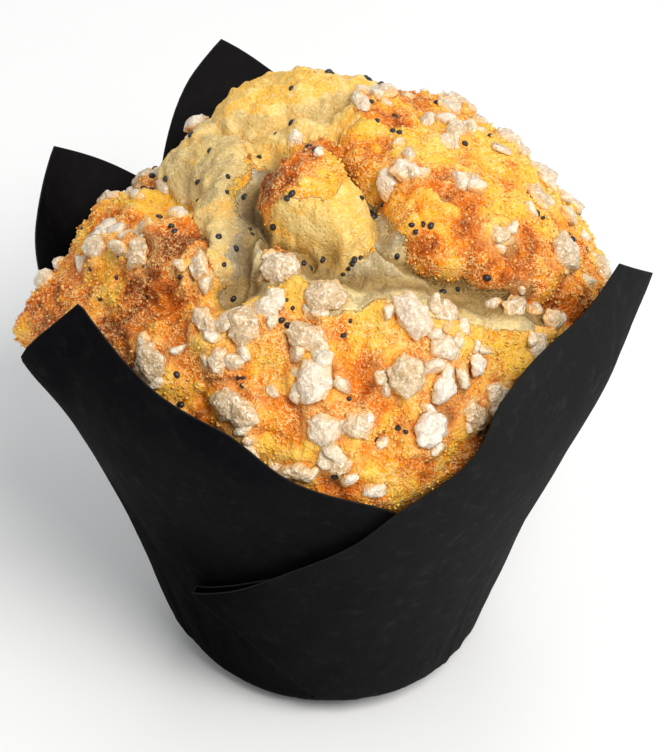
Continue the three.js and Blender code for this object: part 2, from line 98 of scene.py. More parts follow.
DOME_CENTRE = np.array([0.0, 0.0, 50.0])
DOME_RADII = np.array([43.5, 42.0, 42.0])
DOME_MEAN = 42.0
FACE_RADIUS = 43.0  # of the ball that the face is unrolled from
FACE_TILT = 41  # elevation of the middle of the face, in degrees
BODY_CLEARANCE = 1.6  # between the cake and the paper's wall
HIDDEN_CLEARANCE = 2.3  # of the part of the body that the paper hides
BODY_FLOOR = 1
OVERHANG_HEIGHT = 57  # lowest height at which the crust may hang over the paper's edge
OVERHANG = 8
EDGE_MARGIN = 6  # degrees to either side in which the paper's edge counts
CRUST_COLUMNS = 620
CRUST_ROWS = 142
LOWEST_CRUST = -4  # elevation of the lowest crust row, in degrees
NIB_SINK = 0.28  # share of a nib that is below the crust
NIB_SHARPNESS = 30  # power of the mean that rounds a nib's edges
CHIP_SHARPNESS = 26
FROST_GRAINS = 13000
WHITE_NIBS = ("sugar_nib_20", "sugar_nib_21", "sugar_nib_24")  # clearer than the others

# Broad swellings and hollows: azimuth, elevation, rise, reach across, reach up.
SWELLINGS = [
    (100, 57, 4, 13, 9),
    (-20, 58, 1.6, 20, 15),
    (-110, 75, 2.2, 8, 6),
    (187, 16, 3.9, 8, 9),
    (50, 12, 1.5, 12, 8),
    (178, 54, -4, 7, 7),
    (147, 35, -6, 8, 8),
    (55, 44, 0.8, 9, 9),
    (-90, 30, 0.8, 22, 10),
]

# Lobes that burst through the crust, outlined on the unrolled face: right, up.
LOBE_MOAT = 1.9  # how far the crust is drawn down round and under every lobe
ROUGH_RISE = 0.75  # how much the lumps stand out on average, taken off the plain shape
LOBES = {
    "crown": dict(rise=2.3, round=4.5, outline=[
        (-25, 55), (-24, 66), (-8, 76), (12, 74), (17, 66), (13, 60), (9, 56.5), (4, 53), (0, 51),
        (-5, 49.5), (-10, 48.5), (-14, 48), (-19, 48), (-23, 51)]),
    "pale": dict(rise=1.7, round=6, outline=[
        (-22, 50), (-24, 60), (-38, 60), (-40, 48), (-33, 37), (-26, 30), (-23.5, 25), (-20, 20),
        (-18, 16), (-16.5, 12.5), (-14.5, 12), (-14.5, 18), (-14, 24), (-15.5, 30), (-14.5, 37),
        (-14, 42)]),
    "nose": dict(rise=3.6, round=5, outline=[
        (-13.5, 27), (-10.5, 30), (-8, 34), (-5, 38), (-1, 40.5), (3, 38), (4, 32.5), (5.5, 28), (6, 22),
        (5, 18.5), (2.5, 17), (-1.5, 17.5), (-4.5, 19), (-6.5, 20.5), (-8.5, 24), (-11, 25)]),
    "cap": dict(rise=3.0, round=4.5, outline=[
        (1, 48), (12, 58), (26, 66), (50, 62), (75, 40), (80, 5), (58, -4), (49, 7), (38, 11),
        (30, 12.5), (23, 12.5), (18, 14), (14, 16.5), (10, 19), (9, 24), (8, 27), (8, 31), (4, 35)]),
    "strip": dict(rise=1.9, round=3, outline=[
        (-30, 30), (-26.5, 28.5), (-22, 23), (-19, 16), (-20.5, 11.5), (-26, 10), (-29, 18)]),
}

# Cracks on the unrolled face: depth, half width and the points they run through.
CRACKS = [
    (3.2, 2.3, [(-9, 40), (-12.5, 33), (-13.5, 24), (-13, 17), (-15, 11)]),
    (2.4, 1.3, [(-23, 49), (-19, 46), (-13, 46), (-8, 47), (-4, 48), (2, 50.5), (8, 54.5)]),
    (3.0, 2.6, [(-13, 12), (-9, 15.5), (0, 16), (4, 14), (11, 13), (19, 11.5), (27, 11), (35, 8.5)]),
    (1.6, 0.9, [(-1, 16.5), (3, 14.5), (5, 12)]),
    (5.0, 1.5, [(1, 37), (4, 33.5), (7, 29)]),
    (3.4, 1.1, [(8, 17.5), (13, 15.5), (20, 12.8), (28, 12.2), (36, 9.5)]),
    (4.2, 1.0, [(-11, 33.5), (-13.5, 28), (-11, 23), (-7.5, 18.5), (-3, 16.5)]),
    (2.2, 1.6, [(7, 28), (7.5, 22), (9.5, 17.5)]),
    (1.5, 2.4, [(-31, 26), (-34, 33), (-38, 41)]),
    (2.0, 2.0, [(20, 92), (36, 84), (55, 78), (66, 66)]),
    (1.6, 1.8, [(-36, 88), (-22, 82), (-2, 86), (12, 80)]),
]

# Bare crumb, outlined on the unrolled face: how much shows, and how cool its colour is.
CRUMBS = [
    # The first lies in the groove between the pale lobe and the nose: its cool grey is partly the crumb's
    # own and partly painted shade.
    (0.95, 0.85, [(-14, 38), (-9, 37), (-12, 27), (-10, 22), (-9, 18), (-12, 11), (-16, 11), (-16, 22),
                  (-15, 30)]),
    (0.85, 0.55, [(-16, 10), (-10, 17), (0, 18), (6, 17), (10, 19), (15, 15.5), (23, 12.5), (30, 12),
                  (36, 9), (30, 5.5), (20, 7), (12, 7), (8, 9), (2, 8), (-3, 12), (-8, 13), (-12, 8)]),
    (0.9, 0.4, LOBES["pale"]["outline"]),
    (0.75, 0.05, LOBES["crown"]["outline"]),
    (0.85, 0.18, [(-9.5, 24.5), (-6, 25), (-4, 23.5), (0, 24), (2, 29), (4, 34), (7, 30), (8, 22),
                  (6, 16), (0, 15), (-6, 16.5), (-10, 20)]),
    (0.8, 0.35, [(-24, 45), (-24, 52), (-12, 50), (0, 53), (9, 57), (12, 53), (4, 47), (-6, 45),
                 (-14, 44)]),
    (0.6, 0.25, [(34, 50), (41, 45), (45, 36), (41, 31), (36, 38)]),
    (0.75, 0.2, [(-15, 41), (-17, 46), (-10, 47.5), (-5, 49), (2, 51), (6, 49), (6, 44), (2, 40.5),
                 (-4, 41), (-8, 38), (-13, 37)]),
    (0.7, 0.7, [(3, 34), (8, 30), (9.5, 24), (12, 18), (6, 17), (6.5, 23), (6, 28)]),
]

# Browner and paler places on the unrolled face: right, up, browning, reach.
BROWNINGS = [
    (-11, 29, 0.3, 4), (-7, 33, 0.25, 5), (-8, 29, 0.4, 4), (-3, 34, 0.45, 4), (-2, 27, -0.3, 3),
    (18, 16, 0.22, 5), (30, 15, 0.22, 6), (-37, 7, 0.3, 12), (-50, 12, 0.35, 14), (-20, -8, 0.4, 8),
    (24, -13, 0.6, 9), (30, -6, 0.35, 7), (-23, 15, 0.2, 6), (12, 52, 0.2, 7), (14, 24, 0.1, 6),
    (1, 36, 0.3, 3), (15, -13, -0.05, 5), (-27, 18, 0.7, 6), (-25, 20, 0.5, 5), (4, 8, -0.2, 6),
    (38, 44, -0.35, 8), (3, 31, -0.25, 4), (-8, 5, 0.12, 5), (0, -15, 0.1, 8), (45, 10, 0.25, 12),
    (28, 2, -0.15, 6),
]

# ---------------------------------------------------------------- numbers, noise and curves


def smoothstep(low, high, x):
    """Rises from 0 to 1 between low and high, level at both ends: 3tt - 2ttt."""
    t = np.clip((x - low) / (high - low), 0, 1)
    return t * t * (3 - 2 * t)


def hashed(lattice, seed):
    """A fixed number from 0 to 1 for each whole-number point: its coordinates multiplied and mixed."""
    x, y, z = (lattice[..., k].astype(np.int64) for k in range(3))
    mixed = (x * 73856093 ^ y * 19349663 ^ z * 83492791 ^ (seed + 1) * 374761393) & 0xFFFFFFFF
    mixed = (mixed ^ mixed >> 13) * 1274126177 & 0xFFFFFFFF
    mixed = (mixed ^ mixed >> 16) * 2246822519 & 0xFFFFFFFF
    return (mixed ^ mixed >> 15) / 4294967296


def noise(points, size, seed):
    """Smooth noise from -1 to 1: random values at a cube lattice's corners, blended by a quintic."""
    cell = points / size
    low = np.floor(cell).astype(np.int64)
    part = cell - low
    blend = part ** 3 * (part * (part * 6 - 15) + 10)
    total = np.zeros(points.shape[:-1])
    for corner in np.ndindex(2, 2, 2):
        share = np.where(np.array(corner) == 1, blend, 1 - blend).prod(-1)
        total += share * hashed(low + np.array(corner), seed)
    return 2 * total - 1


def layered(points, size, octaves, seed, keep=0.55):
    """Noise added to itself at half the size and keep times the height, again and again."""
    total = np.zeros(points.shape[:-1])
    for k in range(octaves):
        total += keep ** k * noise(points, size / 2 ** k, seed + 31 * k)
    return total


def nearest_seed(points, size, seed):
    """Distance to the nearest of the points scattered one to each cube of a lattice, in cube sides."""
    cell = points / size
    low = np.floor(cell).astype(np.int64)
    best = np.full(points.shape[:-1], 9.0)
    for step in np.ndindex(3, 3, 3):
        cube = low + np.array(step) - 1
        place = cube + np.stack([hashed(cube, seed + 7 * k) for k in range(3)], -1)
        best = np.minimum(best, ((place - cell) ** 2).sum(-1))
    return np.sqrt(best)


def smooth_through(knots, x):
    """A curve through knots with no overshoot: cubic pieces whose slope at a knot is the harmonic
    mean of its two chords' slopes, or 0 where they differ in sign."""
    across, height = np.array(knots, float).T
    width = np.diff(across)
    chord = np.diff(height) / width
    turn = chord[1:] * chord[:-1]
    inner = np.where(turn > 0, 2 * turn / np.where(turn > 0, chord[1:] + chord[:-1], 1), 0)
    slope = np.concatenate([chord[:1], inner, chord[-1:]])
    k = np.clip(np.searchsorted(across, x) - 1, 0, len(width) - 1)
    t = np.clip((x - across[k]) / width[k], 0, 1)
    rise = height[k + 1] * (3 - 2 * t) * t ** 2 + height[k] * (1 + 2 * t) * (1 - t) ** 2
    return rise + width[k] * t * (1 - t) * (slope[k] * (1 - t) - slope[k + 1] * t)


def to_line(points, x, y):
    """Distance from each (x, y) to a line of straight stretches: the least over its stretches."""
    best = np.full(x.shape, 1e9)
    for (x0, y0), (x1, y1) in zip(points[:-1], points[1:]):
        along, up = x1 - x0, y1 - y0
        t = np.clip(((x - x0) * along + (y - y0) * up) / (along ** 2 + up ** 2), 0, 1)
        best = np.minimum(best, np.hypot(x - x0 - t * along, y - y0 - t * up))
    return best


def inside(outline, x, y):
    """Distance to a closed outline, positive inside: the sign counts crossings of a ray to the right."""
    closed = [*outline, outline[0]]
    odd = np.zeros(x.shape, bool)
    for (x0, y0), (x1, y1) in zip(closed[:-1], closed[1:]):
        spans = (y0 > y) != (y1 > y)
        crossing = x0 + (y - y0) * (x1 - x0) / np.where(y1 == y0, 1e-9, y1 - y0)
        odd ^= spans & (x < crossing)
    return np.where(odd, 1, -1) * to_line(closed, x, y)


def direction(azimuth, elevation):
    """Unit vectors at azimuths and elevations in degrees."""
    a, e = np.radians(azimuth), np.radians(elevation)
    return np.stack([np.cos(e) * np.cos(a), np.cos(e) * np.sin(a), np.sin(e) + 0 * a], -1)


def around(radius, azimuth, z):
    """Points at radii and azimuths in degrees round the Z axis, at heights z."""
    a = np.radians(azimuth)
    return np.stack([radius * np.cos(a), radius * np.sin(a), z + 0 * a], -1)


def azimuth_of(points):
    return np.degrees(np.arctan2(points[..., 1], points[..., 0]))


def unit(vectors):
    """The vectors shortened or lengthened to 1."""
    return vectors / np.maximum(np.linalg.norm(vectors, axis=-1, keepdims=True), 1e-9)


# ---------------------------------------------------------------- meshes


def grid_faces(columns, rows, start=0):
    """Corner numbers of the four-sided faces of a grid whose columns are joined round."""
    i, j = np.meshgrid(np.arange(columns), np.arange(rows - 1), indexing="ij")
    after = (i + 1) % columns
    quads = np.stack([i * rows + j, after * rows + j, after * rows + j + 1, i * rows + j + 1], -1)
    return quads.reshape(-1, 4) + start


def pole_faces(columns, rows, low, high):
    """Triangles that close a grid joined round, from its first row to the point numbered low and
    from its last row to the point numbered high."""
    i = np.arange(columns)
    after = (i + 1) % columns
    return np.concatenate([
        np.stack([0 * i + low, after * rows, i * rows], -1),
        np.stack([0 * i + high, i * rows + rows - 1, after * rows + rows - 1], -1),
    ])


def repeated(faces, count, size):
    """Faces of count copies of a shape with size points each."""
    step = (np.arange(count) * size)[:, None, None]
    return [(step + group[None]).reshape(-1, group.shape[1]) for group in faces]


def add_object(name, data):
    thing = bpy.data.objects.new(name, data)
    bpy.context.scene.collection.objects.link(thing)
    return thing


def make_piece(name, points, faces, material, nodes=(), attributes=None):
    """A mesh piece from points in millimetres, riding on the root body and standing for CAD nodes."""
    mesh = bpy.data.meshes.new(name)
    corners = [tuple(face) for group in faces for face in group.tolist()]
    mesh.from_pydata((points * METRES).tolist(), [], corners)
    for key, values in (attributes or {}).items():
        kind = "FLOAT" if values.ndim == 1 else "FLOAT_COLOR"
        layer = mesh.attributes.new(key, kind, "POINT")
        if kind == "FLOAT":
            layer.data.foreach_set("value", values.astype(np.float32))
        else:
            opaque = np.c_[values, np.ones(len(values))]
            layer.data.foreach_set("color", opaque.astype(np.float32).ravel())
    mesh.polygons.foreach_set("use_smooth", [True] * len(mesh.polygons))
    mesh.materials.append(material)
    piece = add_object(name, mesh)
    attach(piece, "root")
    if nodes:
        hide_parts(*nodes)


def grid_normals(points):
    """Unit normals of a grid joined round: the cross product of the steps along and up."""
    along = np.roll(points, -1, 0) - np.roll(points, 1, 0)
    return unit(np.cross(along, np.gradient(points, axis=1)))


# ---------------------------------------------------------------- shaders


class Wire:
    """A shader socket with arithmetic: an expression on wires and numbers adds its Math nodes."""

    def __init__(self, graph, socket):
        self.graph = graph
        self.socket = socket

    def maths(self, operation, *values):
        return self.graph.add("ShaderNodeMath", {"operation": operation}, dict(enumerate(values)))

    def __add__(self, other):
        return self.maths("ADD", self, other)

    def __mul__(self, other):
        return self.maths("MULTIPLY", self, other)

    def __sub__(self, other):
        return self.maths("SUBTRACT", self, other)

    def __rsub__(self, other):
        return self.maths("SUBTRACT", other, self)

    __radd__ = __add__
    __rmul__ = __mul__

    def between(self, low, high):
        """0 below low, 1 above high, and smooth between."""
        settings = {"interpolation_type": "SMOOTHSTEP"}
        return self.graph.add("ShaderNodeMapRange", settings, {0: self, 1: low, 2: high})


class Graph:
    """One material's nodes round a Principled shader, whose constant values are set here."""

    def __init__(self, name, **constants):
        self.material = bpy.data.materials.new(name)
        self.material.use_nodes = True
        self.tree = self.material.node_tree
        self.shader = self.tree.nodes["Principled BSDF"]
        for key, value in constants.items():
            self.shader.inputs[key.replace("_", " ")].default_value = value

    def add(self, kind, settings=None, values=None, output=0):
        """A node of a type, with its settings, then its sockets' values or links; gives one output."""
        node = self.tree.nodes.new(kind)
        for key, value in (settings or {}).items():
            if key == "stops":
                ramp = node.color_ramp
                for _ in value[2:]:
                    ramp.elements.new(0.5)
                for element, (place, colour) in zip(ramp.elements, value):
                    element.position = place
                    element.color = (*colour, 1)
            else:
                setattr(node, key, value)
        for key, value in (values or {}).items():
            self.feed(node.inputs[key], value)
        return Wire(self, node.outputs[output])

    def feed(self, socket, value):
        if isinstance(value, Wire):
            self.tree.links.new(value.socket, socket)
        elif socket.type == "RGBA":
            socket.default_value = (*value, 1)
        else:
            socket.default_value = value

    def mix(self, share, low, high):
        """A colour between two colours, by share."""
        return self.add("ShaderNodeMix", {"data_type": "RGBA"}, {0: share, 6: low, 7: high}, 2)

    def absolute(self, wire):
        return wire.maths("ABSOLUTE", wire)

    def place(self):
        return self.add("ShaderNodeTexCoord", output="Object")

    def coordinate(self, axis):
        """X, Y or Z of the place, in metres."""
        return self.add("ShaderNodeSeparateXYZ", None, {0: self.place()}, axis)

    def noise(self, size, detail=3.0, roughness=0.55, stretch=None):
        """Noise from 0 to 1 with features of a size in millimetres, stretched along X, Y and Z."""
        where = self.place()
        if stretch:
            where = self.add("ShaderNodeMapping", None, {"Vector": where, "Scale": stretch})
        values = {"Vector": where, "Scale": 1 / (size * METRES), "Detail": detail, "Roughness": roughness}
        return self.add("ShaderNodeTexNoise", None, values)

    def cells(self, size):
        """Distance to the nearest of scattered points, about a size in millimetres apart."""
        values = {"Vector": self.place(), "Scale": 1 / (size * METRES)}
        return self.add("ShaderNodeTexVoronoi", None, values)

    def attribute(self, name, output="Fac"):
        return self.add("ShaderNodeAttribute", {"attribute_name": name}, output=output)

    def ramp(self, share, *stops):
        return self.add("ShaderNodeValToRGB", {"stops": stops}, {0: share})

    def bump(self, height, depth, under=None):
        """A normal bent by a height from 0 to 1, depth millimetres high."""
        values = {"Height": height, "Distance": depth * METRES, "Strength": 1.0}
        if under:
            values["Normal"] = under
        return self.add("ShaderNodeBump", None, values)

    def finish(self, **sockets):
        for key, value in sockets.items():
            self.feed(self.shader.inputs[key.replace("_", " ")], value)
        return self.material


# Crust colours by browning and painted shade, and the colour of fine sugar on the crust, which also
# paints pale glints along its ridges.
CRUST_STOPS = (
    (0.0, (0.90, 0.50, 0.045)), (0.25, (0.88, 0.335, 0.013)), (0.5, (0.74, 0.18, 0.004)),
    (0.75, (0.54, 0.105, 0.0025)), (1.0, (0.24, 0.038, 0.0015)),
)
FROST_AND_GLINT = (0.99, 0.68, 0.27)


def crust_material():
    """Baked crust over bare crumb. browning, crumb, cool, crack and glaze are worked out
    with the mesh: the crust runs from gold to red brown, with painted shade making it browner in
    creases, the crumb from warm yellow to grey green, both are speckled with fine sugar and pores,
    pale sugar partly painted as glints runs along fine ridges, painted shade darkens the cracks,
    and glaze is where a nib has melted on to the crust."""
    g = Graph(
        "baked_crust", Subsurface_Weight=0.08, Subsurface_Scale=0.0015,
        Subsurface_Radius=(1.0, 0.4, 0.12), Specular_IOR_Level=0.12,
    )
    patch = g.noise(2.6, 4.0, 0.65)
    grain = g.noise(0.4, 2.0, 0.6)
    worm = 1 - 2 * g.absolute(g.noise(0.7, 2.0, 0.5) - 0.5)
    brown = g.attribute("browning") + (patch - 0.5) + 0.4 * (grain - 0.5)
    crust = g.ramp(brown, *CRUST_STOPS)
    dusted = g.noise(5.0, 3.0, 0.6).between(0.44, 0.58)
    # Partly pale sugar and partly painted glints: fine worm-like ridges are mixed towards the sugar's
    # pale colour.
    frost_and_glints = worm.between(0.88, 0.96) * (0.4 + 0.6 * dusted) * (1 - 0.5 * brown.between(0.5, 0.9))
    crust = g.mix(0.8 * frost_and_glints + 0.4 * (grain.between(0.54, 0.62) * dusted), crust, FROST_AND_GLINT)
    crust = g.mix(0.4 * (g.attribute("glaze") * (grain + 0.2)), crust, (0.98, 0.60, 0.20))
    cool = g.attribute("cool") + 0.6 * (g.noise(5.0, 3.0) - 0.5)
    crumb = g.ramp(
        cool,
        (0.0, (0.90, 0.51, 0.07)), (0.3, (0.72, 0.49, 0.16)), (0.6, (0.49, 0.39, 0.21)),
        (1.0, (0.33, 0.32, 0.27)),
    )
    warm = (0.5 * patch + 0.5 * g.noise(6.5, 2.0)).between(0.5, 0.6) * (1 - cool.between(0.15, 0.6))
    crumb = g.mix(0.75 * warm, crumb, (0.92, 0.43, 0.03))
    crumb = g.mix(0.5 * g.noise(4.0, 3.0).between(0.5, 0.62), crumb, (0.96, 0.74, 0.32))
    crumb = g.mix(0.4 * grain.between(0.54, 0.63), crumb, (0.95, 0.80, 0.46))
    crumb = g.mix(0.25 * (1 - grain.between(0.36, 0.46)), crumb, (0.40, 0.25, 0.06))
    bare = (g.attribute("crumb") + 0.8 * (patch - 0.5) + 0.5 * (grain - 0.5)).between(0.38, 0.58)
    colour = g.mix(bare, crust, crumb)
    # Painted shade: along the deepest cracks the colour darkens towards deep brown.
    shade = g.attribute("crack").between(0.3, 1.0)
    colour = g.mix(0.7 * shade, colour, (0.22, 0.11, 0.015))
    pores = g.cells(0.7).between(0.1, 0.5)
    normal = g.bump(g.noise(1.5, 4.0, 0.6) * (1 - 0.4 * bare), 0.4)
    normal = g.bump(worm * (1 - 0.7 * bare), 0.22, normal)
    normal = g.bump(grain * (1 - 0.4 * bare), 0.26, normal)
    normal = g.bump(pores, 0.08, normal)
    gloss = 0.45 - 0.3 * worm.between(0.8, 0.95) + 0.2 * bare
    return g.finish(Base_Color=colour, Roughness=gloss, Normal=normal)


def paper_material():
    """Dark greaseproof paper: near black and mottled where it was pressed, with painted light that
    makes it greyer on the right and at the back, painted shade that makes it darkest low at the
    front left, and fibres and a slightly paler cut edge where rim is 1."""
    g = Graph("dark_paper", Specular_IOR_Level=0.02)
    cloud = g.noise(9.0, 4.0, 0.6)
    fibre = g.noise(0.5, 3.0, 0.7, stretch=(1.0, 1.0, 0.35))
    scuff = g.noise(2.4, 4.0, 0.7).between(0.5, 0.75)
    across, along = g.coordinate("X"), g.coordinate("Y")
    # Painted light: the paper is made lighter towards the back and towards the right, where the lamps
    # fall, and its scuffs are lighter on the right.
    back = along.between(0.012, 0.03)
    painted_light_right = across.between(-0.012, 0.03)
    # Painted shade: low at the front left the paper is darkened almost to black, and made a little
    # rougher.
    painted_shade_front_left = (1 - across.between(-0.02, -0.004)) * (1 - g.coordinate("Z").between(0.03, 0.055))
    painted_shade_front_left = painted_shade_front_left * (1 - along.between(-0.008, 0.008))
    base = g.mix(cloud.between(0.3, 0.7), (0.0026, 0.0025, 0.0034), (0.0056, 0.0054, 0.0062))
    base = g.mix(0.6 * painted_light_right, base, (0.020, 0.0195, 0.019))
    base = g.mix(0.5 * back, base, (0.016, 0.0155, 0.0165))
    base = g.mix(0.1 * scuff + 0.25 * (scuff * painted_light_right), base, (0.036, 0.035, 0.033))
    base = g.mix(0.18 * fibre.between(0.55, 0.8), base, (0.014, 0.014, 0.015))
    # Painted shade at the front left.
    base = g.mix(0.95 * painted_shade_front_left, base, (0.0004, 0.0003, 0.0006))
    colour = g.mix(g.attribute("rim").between(0.5, 0.95), base, (0.018, 0.0165, 0.015))
    normal = g.bump(g.noise(3.5, 3.0, 0.6, stretch=(1.0, 1.0, 0.3)), 0.22)
    normal = g.bump(fibre, 0.07, normal)
    gloss = 0.75 + 0.2 * (cloud - 0.5) - 0.1 * scuff + 0.15 * painted_shade_front_left
    return g.finish(Base_Color=colour, Roughness=gloss, Normal=normal)


def sugar_material():
    """Pressed sugar, milky and half clear: honey beige inside, paler where edge is 1, whiter as
    clear rises, tinted orange where foot is 1, partly by the crust melted on to it and partly by
    the crust's colour painted as if seen through the sugar, with white specks painted as glints on
    wet grains."""
    g = Graph(
        "pearl_sugar", Subsurface_Weight=0.35, Subsurface_Scale=0.0009,
        Subsurface_Radius=(1.0, 0.8, 0.6), Specular_IOR_Level=0.6, Coat_Weight=0.35, Coat_Roughness=0.12,
    )
    grain = g.noise(0.5, 3.0, 0.65)
    cloud = g.noise(1.9, 3.0, 0.6)
    milk = g.mix(cloud.between(0.35, 0.65), (0.55, 0.36, 0.165), (0.69, 0.50, 0.285))
    milk = g.mix(0.6 * g.attribute("edge"), milk, (0.88, 0.74, 0.52))
    milk = g.mix(g.attribute("clear"), milk, (0.86, 0.78, 0.67))
    # Painted glints: near-white specks on the peaks of the grain.
    milk = g.mix(0.65 * grain.between(0.54, 0.62), milk, (0.98, 0.93, 0.82))
    # Partly painted light: the orange foot stands for crust melted on to the sugar and for the crust's
    # colour seen through it.
    foot = (g.attribute("foot") + 0.7 * (cloud - 0.5)).between(0.15, 1.0)
    colour = g.mix(0.8 * foot, milk, (0.90, 0.48, 0.12))
    normal = g.bump(g.cells(0.45), 0.16)
    normal = g.bump(grain, 0.2, normal)
    gloss = 0.26 - 0.18 * grain.between(0.46, 0.6)
    return g.finish(Base_Color=colour, Roughness=gloss, Normal=normal)


def frost_material():
    """Fine sugar baked into the crust: each grain takes the colour under it, paler and shinier."""
    g = Graph("sugar_frost", Subsurface_Weight=0.2, Subsurface_Scale=0.0008, Specular_IOR_Level=0.3)
    tint = g.attribute("tint", "Color")
    colour = g.mix(0.2 * g.noise(0.8).between(0.4, 0.7), tint, (0.96, 0.62, 0.24))
    return g.finish(Base_Color=colour, Roughness=0.14 + 0.25 * g.noise(0.5))


def seed_material():
    """Poppy seeds: slate blue to black, with a net of fine pits and an oily shine."""
    g = Graph("poppy_seed", Specular_IOR_Level=0.3, Coat_Weight=0.4, Coat_Roughness=0.08)
    colour = g.ramp(
        g.noise(1.6, 2.0),
        (0.35, (0.004, 0.004, 0.007)), (0.55, (0.016, 0.017, 0.025)), (0.7, (0.05, 0.036, 0.03)),
    )
    normal = g.bump(g.cells(0.22), 0.06)
    return g.finish(Base_Color=colour, Roughness=0.3 + 0.15 * g.noise(0.3), Normal=normal)


# ---------------------------------------------------------------- the paper case


def wall_radius(z):
    """Radius of the plain wall: an arc at the foot, a flaring cone, then a curl back to upright."""
    angle = np.arctan(WALL_TAPER)
    start = BASE_FILLET * (1 - np.sin(angle))
    foot = BASE_RADIUS - BASE_FILLET + np.sqrt(np.maximum(BASE_FILLET ** 2 - (BASE_FILLET - z) ** 2, 0))
    rise = np.minimum(z, FLARE_END) - start
    over = np.maximum(z - FLARE_END, 0)
    side = BASE_RADIUS - BASE_FILLET * (1 - np.cos(angle)) + WALL_TAPER * rise
    side = side + WALL_FLARE * (rise / FLARE_HEIGHT) ** 2 + TOP_TAPER * over - TOP_CURL * over ** 2
    return np.where(z < start, foot, side)


def paper_lean(azimuth, z):
    """How far the paper leans out or in, growing with the square of the height above LEAN_START."""
    first = LEANS[0]
    turned = (azimuth - first[0]) % 360 + first[0]
    share = np.maximum(z - LEAN_START, 0) / (LEAN_HEIGHT - LEAN_START)
    lean = smooth_through([*LEANS, (first[0] + 360, first[1])], turned) * np.minimum(share ** 2, 1.2)
    for middle, height, out, across, up in BELLIES:
        aside = (azimuth - middle + 180) % 360 - 180
        lean = lean + out * np.exp(-(aside / across) ** 2 - ((z - height) / up) ** 2)
    return lean


def paper_room(azimuth, z):
    """Radius that the paper leaves free inside it, whichever way it leans."""
    return wall_radius(z) + np.minimum(paper_lean(azimuth, z), 0)


def pleat_ends():
    """Each pleat with the petal tips on either side of it, the second one further anticlockwise."""
    turned = [*PETALS[1:], (PETALS[0][0] + 360, PETALS[0][1])]
    return list(zip(PLEATS, PETALS, turned))


def fold_azimuth(base, top, z, opening):
    """Azimuth of a fold: straight from the pleat's foot through its top, and open below the foot."""
    above = base + (top[0] - base) * (z - PLEAT_START) / (top[1] - PLEAT_START)
    return np.where(z < PLEAT_START, base - opening * OPEN_RATE * (PLEAT_START - z), above)


def pleat_layers(pleat, start, end, part, t, z):
    """Azimuth and radial offset of the paper along one pleat. part says which stretch a column is
    on: 0 down from the first petal, 1 round the first fold, 2 back between the folds, 3 round the
    second fold, 4 up to the next petal; t runs from 0 to 1 along it. Outside, between and inside
    layers lie LAYER_STEP apart, and the folds between them are half circles."""
    side = pleat["side"]
    first = fold_azimuth(pleat["base"], pleat["first"], z, 1)
    second = fold_azimuth(pleat["base"], pleat["second"], z, -1)
    step = LAYER_STEP * smoothstep(PLEAT_FADE, PLEAT_START, z)
    bend = step / 2 * smoothstep(PLEAT_START, PLEAT_START + 3, z) / np.radians(wall_radius(z))
    turn = np.pi * t
    azimuths = [
        start[0] + (first - start[0]) * t,
        first + bend * np.sin(turn),
        first + (second - first) * t,
        second - bend * np.sin(turn),
        second + (end[0] - second) * t,
    ]
    offsets = [
        -side * step * smoothstep(0, 0.6, t),
        -side * step * (1 + np.cos(turn)) / 2,
        0 * z * t,
        side * step * (1 - np.cos(turn)) / 2,
        side * step * smoothstep(0, 0.6, 1 - t),
    ]
    cases = [part == k for k in range(PLEAT_PARTS)]
    return np.select(cases, azimuths), np.select(cases, offsets)


def edge_height(pleat, start, end, part, azimuth):
    """Height of the paper's cut edge over an azimuth, on each stretch of a pleat."""
    first, second = pleat["first"], pleat["second"]
    fall = smooth_through([start, *pleat["fall"], first], azimuth)
    rise = smooth_through([second, *pleat["rise"], end], azimuth)
    middle = np.interp(azimuth, [second[0], first[0]], [second[1], first[1]])
    heights = [fall, first[1] + 0 * azimuth, middle, second[1] + 0 * azimuth, rise]
    return np.select([part == k for k in range(PLEAT_PARTS)], heights)


def crumple(azimuth, z):
    """How far pressing and folding moved the paper off its wall: upright ripples, strongest round
    the foot, long soft dents, and a wave along the petals."""
    upright = around(25, azimuth, z / 7)
    ripples = 1 - 2 * np.abs(noise(upright, 2.6, 3))
    fine = 1 - 2 * np.abs(noise(1.6 * upright, 2.2, 9))
    dents = layered(around(34, azimuth, 0.6 * z), 16, 2, 5)
    foot = smoothstep(1, 6, z) * (1 - 0.75 * smoothstep(10, 42, z))
    wall = smoothstep(4, 20, z) * (1 + 0.6 * smoothstep(50, 78, z))
    return foot * (0.17 * ripples + 0.08 * fine) + 0.4 * dents * wall


